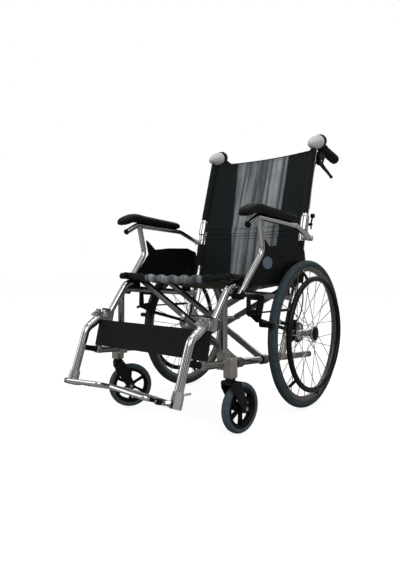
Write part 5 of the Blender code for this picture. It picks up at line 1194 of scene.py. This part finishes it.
def armrest_pad(piece, side):
    """The moulded arm pad: crowned, waisted above its base, with a drooping nose and a moulded seam round it."""
    stations = [(-0.395, -0.011, -0.002, 0.0085), (-0.3905, -0.0156, 0.0042, 0.0162), (-0.382, -0.0172, 0.0108, 0.0202),
                (-0.366, -0.014, 0.0188, 0.0222), (-0.348, -0.0072, 0.0258, 0.023), (-0.322, -0.0004, 0.0312, 0.0232),
                (-0.27, -0.0004, 0.029, 0.0226), (-0.18, -0.0004, 0.0265, 0.0222), (-0.105, -0.0004, 0.0245, 0.0214),
                (-0.0885, 0.0015, 0.0218, 0.0184), (-0.0825, 0.006, 0.0168, 0.012)]
    start, length = stations[0][0], stations[-1][0] - stations[0][0]
    pad = bmesh.new()
    rings, seam = [], []
    for t in shares(84):
        y = start + length * (t + 0.35 / (2 * pi) * -sin(2 * pi * t))
        low_h, high_h, half = between(stations, y)
        top, bottom = arm_top(y) + high_h, arm_top(y) + low_h
        middle = bottom + (top - bottom) * PAD_WAIST
        line = []
        for c, s in circle(1.0, 40):
            wide = half * (abs(c) ** 0.78) * (1 if c >= 0 else -1)
            if s >= 0:
                tall = (top - middle) * s ** 0.8
            else:
                tall = -(middle - bottom) * abs(s) ** 0.42
                wide *= 1 - 0.09 * abs(s) ** 0.6
            crumple = 0.0004 * noise.noise(Vector((wide, y, tall)) * 60 + Vector((side * 3, 0, 0)))
            line.append(pad.verts.new((side * PAD_X + wide, y, middle + tall + crumple)))
        rings.append(line)
        seam.append((half, y, middle))
    skin(pad, rings)
    near, far = [[Vector((side * PAD_X + way * (half - 0.00005), y, z - 0.0022)) for half, y, z in seam[2:-2]]
                 for way in (-1, 1)]
    piece.add(VINYL, pad, sweep(near + far[::-1], circle(0.00055, 6), closed=True))


def skirt_guard(piece, side):
    """The moulded side panel: a rolled border, two raised sweeps and a bare oval badge."""
    bottom = ARM_FOOT[1] + 0.026
    slope = (ARM_KNEE[0] - ARM_FOOT[0]) / (ARM_KNEE[1] - ARM_FOOT[1])
    lean = sqrt(1 + slope ** 2)
    beside = ARM_TUBE_R + 0.0006
    foot_y = ARM_FOOT[0] + slope * (bottom - ARM_FOOT[1]) + beside * lean
    tip_y = ARM_KNEE[0] + (ARM_POST_TOP[0] - ARM_KNEE[0]) * (GUARD_TOP - ARM_KNEE[1]) / (ARM_POST_TOP[1] - ARM_KNEE[1])
    outline = [(foot_y, bottom), (ARM_KNEE[0] + beside * lean * 1.02, ARM_KNEE[1]), (tip_y + beside * 1.06, GUARD_TOP),
               (tip_y + beside + 0.014, GUARD_TOP - 0.006), (-0.225, 0.381), (-0.15, 0.3885), (-0.036, 0.391),
               (0.018, 0.376), (0.028, 0.33), (0.008, bottom)]
    edge = rounded([(y, FRAME_Z + h) for y, h in outline], 0.008, radians(10))
    middle = Vector((-0.13, FRAME_Z + 0.325))
    border = [Vector((side * (GUARD_X + 0.0009), y + (middle.x - y) * 0.022, z + (middle.y - z) * 0.035))
              for y, z in edge]
    piece.add(GUARD_PLASTIC, plate(edge, 0.003, side_plane(side * GUARD_X), 0.0008),
              sweep(border, circle(0.0016, 10), closed=True))
    sweeps = (((0.012, 0.367), (-0.06, 0.345), (-0.12, bottom + 0.041), (-0.15, bottom + 0.009)),
              ((-0.17, 0.372), (-0.14, 0.345), (-0.15, bottom + 0.06), (-0.178, bottom + 0.009)))
    for line, less in zip(sweeps, (0.0, 0.0004)):
        rib = [at(side, GUARD_X + 0.0013 - less, point) for point in line]
        piece.add(GUARD_PLASTIC, pipe(rib, 0.002 - less, 0.06, 12, lip=0.001))
    disc = [(0.0, 0.0027), (0.016, 0.0027), (0.0176, 0.0029), (0.019, 0.0028), (0.02, 0.0021), (0.02, 0.0), (0.0, 0.0)]
    rim = [(0.0199, 0.0012), (0.0212, 0.0012), (0.0212, 0.0024), (0.0205, 0.0028), (0.0199, 0.0024)]
    plaque = lathe(disc, (0, 0, 0), (side, 0, 0), 64)
    surround = turned(rim, (0, 0, 0), (side, 0, 0), 64)
    place = Matrix.Translation(at(side, GUARD_X, BADGE_POINT)) @ Matrix.Diagonal((1, BADGE_STRETCH, 1, 1))
    for shape in (plaque, surround):
        shape.transform(place)
    piece.add(BADGE, plaque).add(GUARD_PLASTIC, surround)


# Footrests

def hanger(piece, side):
    """The swing-away hanger: pivot ring, neck, socket and bent tube, with the black stop against the post."""
    collar = mirrored([(0.0115, 0.0075), (HEAD_R, 0.0075)])
    piece.add(POLISHED, turned(collar, post_place(side), run_of(post_place, side), 36, 0.0012))
    start = post_place(side, -0.0147, -0.0236)
    bend, foot = at(side, FRAME_X - 0.0015, HANGER_BEND), at(side, HANGER_FOOT_X, HANGER_FOOT)
    socket_end = start + (bend - start) * SOCKET_SHARE
    piece.add(POLISHED, pipe([start, bend, foot], HANGER_R, 0.04, 24),
              pipe([start, socket_end], SOCKET_R, sides=24, lip=0.0022))
    tall = 0.0073
    cheek = [(-0.004, tall), (-0.03, tall), (-0.041, -0.002), (-0.034, -0.021), (-0.0175, -0.0215), (-0.0165, -tall),
             (-0.004, -tall)]
    piece.add(POLISHED, plate(rounded(cheek, 0.003), 0.019, leaning(post_place(side), POST_LEAN), 0.0014))
    stop = [post_place(side, STOP_ALONG, out) for out in (-0.0118, -0.072)]
    piece.add(BLACK_PLASTIC, rod(*stop, 0.0088, 24))
    run = (stop[0] - stop[1]).normalized()
    cap = [(0.0, 0.0), (0.0093, 0.0), (0.0098, 0.0016), (0.0098, 0.012), (0.0088, 0.0134), (0.0, 0.0134)]
    piece.add(BLACK_RUBBER, lathe(cap, stop[0] - run * 0.0134, run, 28))
    pivot = post_place(side, 0.012, -0.03)
    for way in (-1, 1):
        piece.add(CAST, block((0.0024, 0.009, 0.014), pivot + Vector((way * 0.0075, 0.001, -0.004)), 0.0008))
    piece.add(CHROME, *screw_pair(pivot, 0.0087, 0.003))
    piece.add(SATIN, weld(socket_end, bend - start, HANGER_R, 0.001))


def footplate(piece, side):
    """The flip-up plate: a rolled rim round a ribbed sheet, hinge barrels and the black end piece."""
    hinge = at(side, PLATE_HINGE_X, PLATE_CENTER)
    along = Vector((0, cos(PLATE_SLOPE), -sin(PLATE_SLOPE)))
    across = Matrix.Rotation(side * PLATE_RISE, 4, along) @ Vector((-side, 0, 0))
    normal = across.cross(along)
    base = Matrix.Translation(hinge) @ Matrix((across, along, normal)).transposed().to_4x4()
    up = 1 if normal.z > 0 else -1
    reach = (PLATE_HINGE_X - PLATE_GAP / 2) / cos(PLATE_RISE) - PLATE_RIM_R
    start, half, edge = 0.017, PLATE_LENGTH / 2, 0.0062

    def inset(by):
        return [(start + by, -half + by), (reach - by, -half + by), (reach - by, half - by), (start + by, half - by)]

    line = rounded(inset(edge), 0.0105, radians(9))
    piece.add(POLISHED, sweep([base @ Vector((x, y, 0)) for x, y in line], circle(edge), closed=True))
    piece.add(ANODISED, plate(rounded(inset(0.004), 0.01), 0.0036, base, 0.0004))
    for count in range(-3, 4):
        y = half * 0.74 * count / 3
        ends = [base @ Vector((x, y, up * 0.0018)) for x in (start + 0.029, reach - 0.014)]
        piece.add(ANODISED, pipe(ends, 0.0017, sides=12, lip=0.0009))
    end_piece = base @ Matrix.Translation((start + 0.01, 0, 0))
    piece.add(BLACK_PLASTIC, block((0.026, PLATE_LENGTH - 0.03, 0.009), end_piece, 0.0016))
    for way in (-1, 1):
        face = base @ Vector((start + 0.011, way * 0.024, up * 0.0044))
        near, far = way * 0.0146, way * 0.03
        barrel = base @ Matrix.Translation((0.013, (near + far) / 2, 0))
        piece.add(CHROME, screw_head(face, base.to_3x3() @ Vector((0, 0, up)), 0.0034))
        piece.add(BLACK_PLASTIC, rod(hinge + along * near, hinge + along * far, KNUCKLE_R, 24, 0.0008),
                  block((0.024, 0.014, 0.0075), barrel, 0.0012))


# Cloth

def seat_sling(rails):
    """The hung seat: folded round both rails, sagging between them and gathered behind its rolled front hem."""
    lie = SEAT_RAIL_R + CLOTH / 2 + 0.0008
    leave, edge = radians(112), radians(12)
    flat_x = SEAT_RAIL_X + lie * cos(leave)
    flat_share = 9 / 13
    front, rear = SEAT_FRONT_Y + 0.012, SEAT_REAR_Y - 0.008

    def shape(u, v):
        across = 2 * u - 1
        side, share = (1 if across >= 0 else -1), abs(across)
        y = front + (rear - front) * v
        if share <= flat_share:
            reach = share / flat_share
            x = reach * flat_x
            back = min(1.0, v / 0.42)
            slack = FRONT_SLACK + (1 - FRONT_SLACK) * back * back * (3 - 2 * back)
            sag = SEAT_SAG * (1 - reach ** 2.2) * slack * (1 - 0.25 * v)
            fade = 1 - reach ** 4
            pleat = PLEAT_DEPTH * cos(pi * PLEATS * reach + 0.7 * side) * fade * (1 - v) ** 2.2
            crease = CREASE_DEPTH * noise.noise(Vector((side * x * 26, y * 7, 2.0))) * fade
            height = lie * sin(leave) - sag + pleat + crease
        else:
            angle = leave + (edge - leave) * (share - flat_share) / (1 - flat_share)
            x = SEAT_RAIL_X + lie * cos(angle)
            height = lie * sin(angle)
        return Vector((side * x, y, seat_rail(y) + height))

    def crossing(count, wide, v, move):
        """A line of points across the seat, moved off its surface."""
        return [shape(0.5 + (share - 0.5) * wide, v) + Vector(move) for share in shares(count)]

    seat = Piece("seat_sling").add(SEAT_UNDERSIDE_SHADE, cloth_grid(156, 54, shape, 0.0026))
    seat.finishes += [GREY_WEAVE, NYLON]
    # Faces that face up, and those beside the rails, take the grey and black weaves; the rest keep the darker olive
    # weave, which paints shade on the underside
    seat.work.normal_update()
    for face in seat.work.faces:
        x = abs(face.calc_center_median().x)
        if face.normal.z > 0.05 or x > SEAT_RAIL_X - 0.03:
            face.material_index = 1 if x < PANEL_HALF else 2
    reaches = [abs(2 * share - 1) for share in shares(120)]
    sizes = [1.0 - 0.45 * r ** 5 + 0.1 * cos(pi * PLEATS * r) * (1 - r ** 3) for r in reaches]
    roll = [point + Vector((0, 0.004, -0.01 * size))
            for point, size in zip(crossing(120, flat_share * 0.985, 0.0, (0, 0, 0)), sizes)]
    overlap = 0.004
    for finish, low_x, high_x, share in ((GREY_WEAVE, -PANEL_HALF, PANEL_HALF, 1.0),
                                         (NYLON, -FRAME_X, overlap - PANEL_HALF, 1.01),
                                         (NYLON, PANEL_HALF - overlap, FRAME_X, 1.01)):
        part = [(point, size * share) for point, size in zip(roll, sizes) if low_x <= point.x <= high_x]
        line, widths = zip(*part)
        seat.add(finish, sweep(line, oval(0.008, 0.0122, 20), widths, up=(0, 1, 0)))
    for v in (0.045, 0.958):
        seat.add(THREAD, stitches(crossing(240, flat_share, v, (0, 0, 0.0014)), up=(0, 0, 1)))
    seat.add(TAPE, sweep(crossing(80, 0.98, 1.0, (0, -0.003, 0)), oval(0.0036, 0.0022, 12), up=(0, 1, 0)))
    thing = seat.stands("grey_cloth", "seat_sling")
    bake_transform(thing)
    return thing


class Panel:
    """The cloth of one part of the back: its foot on the middle line, its lean, and how far out its canes stand."""

    def __init__(self, foot, lean, cane_x, cane_r, spans, bodies):
        self.foot, self.cane_x, self.cane_r = foot, cane_x, cane_r
        self.turn = Matrix.Rotation(-lean, 4, "X")
        self.band, self.sheet = spans
        self.bodies = bodies
        self.half = cane_x - 0.014

    def tapered(self, x, along):
        """The streaked panel narrows towards the seat on the user's right."""
        narrow = 0.045 * min(1.0, max(0.0, (0.93 - self.point(0, along).z) / 0.5))
        edge = -PANEL_HALF
        if x <= edge:
            return x + narrow * (x + self.half) / (self.half + edge)
        return x + narrow * min(0.0, x) / edge

    def in_panel(self, face):
        center = face.calc_center_median()
        along = (self.turn.inverted() @ (center - self.foot)).z
        return self.tapered(-PANEL_HALF, along) < center.x < PANEL_HALF

    def point(self, x, along, proud=0.0):
        bow = SLING_BOW * (1 - (x / self.cane_x) ** 2)
        return self.foot + self.turn @ Vector((x, bow - proud, along))


def back_panel(name, panel, flap=None):
    """A back sling: the sheet between the canes, streaked in its middle panel, and a sleeve round each cane."""
    low_end, high_end = panel.sheet
    tall = high_end - low_end

    def shape(u, v):
        along = low_end + tall * v
        x = panel.tapered(panel.half * (2 * u - 1), along)
        free = 1 - (x / panel.half) ** 4
        ends = min(1.0, v * tall / 0.02, (1 - v) * tall / 0.02)
        folds = 0.0017 * noise.noise(Vector((x * 22, along * 9, 5.0))) * free
        pull = 0.0011 * sin(abs(x) * 90 + along * 60) * max(0.0, abs(x) / panel.half - 0.5) * free
        return panel.point(x, along, (folds + pull) * (0.3 + 0.7 * ends))

    def streaked():
        for face in sheet.work.faces:
            if face.material_index == 0 and panel.in_panel(face):
                face.material_index = 1

    def upwards(x, count, proud):
        """A line of points up the cloth, beside the streaked panel's edge."""
        heights = [low_end + tall * share for share in shares(count)]
        return [panel.point(panel.tapered(x, along), along, proud) for along in heights]

    sheet = Piece(name).add(NYLON, cloth_grid(96, max(20, int(tall / 0.0065)), shape, 0.0024))
    sheet.finishes.append(GREY_WEAVE)
    streaked()
    for x in (-PANEL_HALF, PANEL_HALF):
        sheet.add(TAPE, sweep(upwards(x, 60, 0.0016), circle(0.0013, 8)))
        sheet.add(THREAD, *[stitches(upwards(x + beside, 40, 0.0014)) for beside in (-0.0052, 0.0052)])
    if flap:
        def hang(u, v):
            along = low_end + flap[0] + (flap[1] - flap[0]) * v
            reach = panel.half - 0.006
            x = max(-reach, min(reach, panel.tapered(reach * (2 * u - 1), along)))
            return panel.point(x, along, 0.0034 - 0.0026 * v)

        sheet.add(NYLON, cloth_grid(96, 10, hang, 0.0016))
        streaked()
        for v in (0.03, 0.48):
            for first, last, finish in ((0, 17, TAPE), (17, 62, GREY_WEAVE), (62, 80, TAPE)):
                welt = [hang(u, v) + Vector((0, -0.0016, 0)) for u in shares(80)[first:last + 1]]
                sheet.add(finish, sweep(welt, circle(0.0016, 10)))
    for along, turned_over in ((low_end, 0.0105), (high_end, -0.0105)):
        hem = [panel.point(panel.half * (2 * u - 1), along, 0.0002) for u in shares(80)]
        sheet.add(TAPE, sweep(hem, oval(0.0027, 0.0022, 12), up=(0, 1, 0)))
        run = [panel.point(panel.half * 0.985 * (2 * u - 1), along + turned_over, 0.0016) for u in shares(160)]
        sheet.add(THREAD, stitches(run))
    middle = sheet.rides(panel.bodies[1], "black_cloth", name)
    1 - FOLD_IN / (2 * panel.half)
    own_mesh(middle)
    start, end = panel.band
    for side in SIDES:
        def round_cane(u, v):
            angle = radians(78 + 257 * u) if side > 0 else radians(102 - 257 * u)
            along = start + (end - start) * v
            crush = 0.0006 * noise.noise(Vector((cos(angle) * 2, sin(angle) * 2, along * 55)))
            out = panel.cane_r + 0.0021 + crush * min(1, v * 9, (1 - v) * 9)
            return panel.foot + panel.turn @ Vector((side * panel.cane_x + out * cos(angle), out * sin(angle), along))

        sleeve = Piece(f"{name}_sleeve_{SIDES[side]}").add(NYLON, cloth_grid(36, 50, round_cane, 0.0018))
        for v in (0.006, 0.994):
            sleeve.add(TAPE, sweep([round_cane(u, v) for u in shares(30)], circle(0.0013, 8), up=(0, 0, 1)))
        sleeve.rides(panel.bodies[side], "black_cloth")
    if flap:
        tall += flap[0] - flap[1]
    2 * panel.half * 1.005


def back_slings():
    """The lower cloth on the frame's canes, and the upper one on the folding back with a flap over the join."""
    rise = (CANE_TOP[0] - CANE_BEND[0], CANE_TOP[1] - CANE_BEND[1])
    length = hypot(*rise)
    start, end = 0.022, length - 0.04
    lean = atan2(*rise)
    middle_h = CANE_BEND[1] + (start + end) / 2 * cos(lean)
    cane_x = FRAME_X + (middle_h - CANE_FOOT[1]) / (CANE_TOP[1] - CANE_FOOT[1]) * (CANE_TOP_X - FRAME_X)
    foot = Vector((0, CANE_BEND[0], FRAME_Z + CANE_BEND[1]))
    back_panel("back_sling_lower", Panel(foot, lean, cane_x, CANE_R + 0.0014, ((start, end), (-0.034, length - 0.004)),
                                         {1: "left_frame", -1: "right_frame"}))
    top = BACK_HEIGHT / cos(BACK_LEAN) - 0.03
    back_panel("back_sling_upper", Panel(back_place(1, 0, x=0), BACK_LEAN, BACK_X, CANE_R, ((0.066, top), (0.018, top)),
                                         {1: "left_back", -1: "right_back"}), flap=(0.013, -0.031))


def calf_strap():
    """The band round both posts, double between them, with faint creases where it has been folded."""
    start, end = STRAP_SPAN
    turn = Matrix.Rotation(-POST_LEAN, 4, "X")
    foot = post_place(1, 0, x=0.0)
    reach = FRAME_X - 0.004
    strap = Piece("calf_strap")
    for way in (-1, 1):
        def layer(u, v):
            x = reach * (2 * u - 1)
            crease = 0.0011 * sum(max(0.0, 1 - abs(x - fold) / 0.006) for fold in (-0.15, -0.085, -0.018, 0.052, 0.118))
            give = 0.0018 * sin(pi * u) * sin(pi * v) + 0.0007 * noise.noise(Vector((x * 30, v * 3, way)))
            return foot + turn @ Vector((x, way * (STRAP_OUT - (crease + give) * 0.9), start + (end - start) * v))

        strap.add(STRAP_TAPE, cloth_grid(110, 22, layer, 0.0022))
        for along in (start + 0.0045, end - 0.0045):
            run = [foot + turn @ Vector((reach * (2 * u - 1), way * 0.0138, along)) for u in shares(120)]
            strap.add(THREAD, stitches(run, up=(0, way, 0)))
    band = strap.rides("left_frame", "black_cloth", "calf_strap")
    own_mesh(band)
    for side in SIDES:
        def round_post(u, v):
            angle = pi * (u - 0.5)
            x = FRAME_X - 0.0045 + (0.0045 + STRAP_OUT) * cos(angle)
            return foot + turn @ Vector((side * x, STRAP_OUT * sin(angle), start + (end - start) * v))

        loop = Piece(f"calf_strap_loop_{SIDES[side]}").add(STRAP_TAPE, cloth_grid(24, 22, round_post, 0.0024))
        for u, way in ((0, -1), (1, 1)):
            run = [round_post(u, 0.03 + 0.94 * v) for v in shares(12)]
            loop.add(THREAD, stitches(run, up=(0, way, 0), lift=0.0013))
        loop.rides(f"{SIDES[side]}_frame", "black_cloth")


# The frame's own solids that stay as they are, with their finishes
KEPT = {"caster_housing": CAST, "caster_fork": BLACK_ENAMEL, "wheel_lock_plate": BLACK_ENAMEL,
        "wheel_lock_lever": BLACK_ENAMEL, "seat_cradle": BLACK_PLASTIC, "armrest_saddle": BLACK_PLASTIC,
        "foot_bracket": POLISHED, "hanger_latch": CHROME, "axle_and_drum": BLACK_ENAMEL, "hinge_release": BLACK_PLASTIC}


def kept_pieces():
    for name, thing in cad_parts.items():
        finish = KEPT.get(name.rsplit("_", 1)[0])
        if finish:
            for slot in thing.material_slots:
                slot.material = finish
            if not thing.material_slots:
                thing.data.materials.append(finish)


# Studio

def flat_sheet(name, width, height, place, finish):
    """A flat sheet of the studio, in the plane that the matrix sets."""
    work = bmesh.new()
    bmesh.ops.create_grid(work, x_segments=1, y_segments=1, size=0.5)
    bmesh.ops.scale(work, vec=(width, height, 1), verts=work.verts)
    work.transform(place)
    mesh = bpy.data.meshes.new(name)
    work.to_mesh(mesh)
    work.free()
    mesh.materials.append(finish.material)
    return linked(name, mesh)


def floor():
    """The ground: plain paper under the lights, and a pale glow for the camera alone."""
    paper = Finish("floor_paper", (0.5, 0.5, 0.5, 1), 1.0)
    matt = paper.node("BsdfDiffuse", {}, (0.34, 0.34, 0.34, 1.0))
    seen = paper.node("LightPath")["Is Camera Ray"]
    glow = paper.node("Emission", {}, Color=(1, 1, 1, 1), Strength=seen * PAPER_WHITE)
    both = paper.node("AddShader", {}, matt, glow)
    paper.tree.links.new(both.socket, paper.tree.nodes["Material Output"].inputs["Surface"])
    paper.tree.nodes.remove(paper.shader)
    ground = flat_sheet("floor", FLOOR_WIDTH, FLOOR_WIDTH, Matrix(), paper)
    ground.location.z = FLOOR_Z


def dark_flag(name, place, width, height):
    """A dark studio flag outside the picture: the bright tubes show it as a dark streak."""
    toward = Vector((-place[0], -place[1], 0))
    flag = flat_sheet(name, width, height, on_axis(place, toward), Finish(name, tint(24, 24, 26), 0.9))
    flag.visible_camera = flag.visible_diffuse = flag.visible_shadow = False


def lamp(name, place, power, size):
    """A soft light that is turned towards the middle of the chair."""
    light = bpy.data.lights.new(name, "AREA")
    light.shape = "RECTANGLE"
    light.size, light.size_y = size
    light.energy = power
    linked(name, light).matrix_world = on_axis(place, Vector(place) - LAMP_TARGET)


def studio():
    floor()
    for number in range(FLAGS):
        turn = radians(360 / FLAGS * number + 12)
        dark_flag(f"studio_flag_{number}", (FLAG_DISTANCE * sin(turn), -FLAG_DISTANCE * cos(turn), 1.2), 0.95, 2.6)
    lamp("key_light", (2.3, -2.2, 2.7), 46, (2.6, 2.2))
    lamp("fill_light", (-2.6, -2.0, 1.8), 20, (2.0, 2.0))
    lamp("top_light", (0.0, 0.3, 3.2), 26, (2.4, 2.4))
    lamp("back_light", (-0.8, 2.8, 2.0), 14, (1.6, 1.2))
    world = bpy.data.worlds.new("studio")
    bpy.context.scene.world = world
    world.use_nodes = True
    tree = world.node_tree
    tree.nodes.clear()
    kinds = ("OutputWorld", "LightPath", "MixShader", "Background", "Background")
    out, path, mix, room, paper = [tree.nodes.new("ShaderNode" + kind) for kind in kinds]
    for background, strength in ((room, ROOM_LIGHT), (paper, 1.0)):
        background.inputs["Color"].default_value = (1, 1, 1, 1)
        background.inputs["Strength"].default_value = strength
    for start, end in ((path.outputs["Is Camera Ray"], mix.inputs[0]), (room.outputs[0], mix.inputs[1]),
                       (paper.outputs[0], mix.inputs[2]), (mix.outputs[0], out.inputs["Surface"])):
        tree.links.new(start, end)
    bpy.context.scene.view_settings.view_transform = "Standard"


def camera():
    """The photograph's view: a level camera on the user's left front."""
    lens = bpy.data.cameras.new("camera")
    lens.sensor_fit = "HORIZONTAL"
    lens.sensor_width = 36.0
    lens.lens = 44.5
    lens.shift_y = -0.048
    view = linked("camera", lens)
    view.location = (1.0615, -1.3988, 0.4907)
    view.rotation_euler = (pi / 2, 0.0, radians(38.76))
    bpy.context.scene.camera = view


# The pieces of each side: their body, their slot, and whether their shading is evened
SIDED = ((rear_tyre, "wheel", "slate_rubber", False), (rear_wheel, "wheel", "cast_aluminium", False),
         (handrim, "wheel", "black_painted_steel", False), (caster_wheel, "caster_wheel", "black_plastic", True),
         (caster_tyre, "caster_wheel", "slate_rubber", False), (caster_bolts, "caster_fork", "chromed_steel", True),
         (side_frame, "frame", "polished_aluminium", True), (upper_cane, "back", "polished_aluminium", True),
         (hinge_sleeve, "back", "polished_aluminium", True), (push_grip, "back", "black_plastic", True),
         (brake_lever, "brake_lever", "black_painted_steel", True), (grip_cap, "back", "pale_plastic", True),
         (armrest_frame, "armrest", "polished_aluminium", True), (armrest_pad, "armrest", "pad_vinyl", False),
         (skirt_guard, "armrest", "black_plastic", True), (hanger, "hanger", "polished_aluminium", True),
         (footplate, "footplate", "polished_aluminium", True))


def sided_pieces(side, word):
    """Each piece is named as its function, and stands for the frame's solid of that name if there is one."""
    for build, body, slot, even in SIDED:
        piece = Piece(f"{build.__name__}_{word}")
        build(piece, side)
        nodes = [piece.name] if piece.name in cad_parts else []
        thing = piece.rides(f"{word}_{body}", slot, *nodes, even=even)


camera()
for side in SIDES:
    brake_cable(side)
studio()
kept_pieces()
for side, word in SIDES.items():
    sided_pieces(side, word)
seat_sling([brace(side) for side in SIDES])
back_slings()
calf_strap()
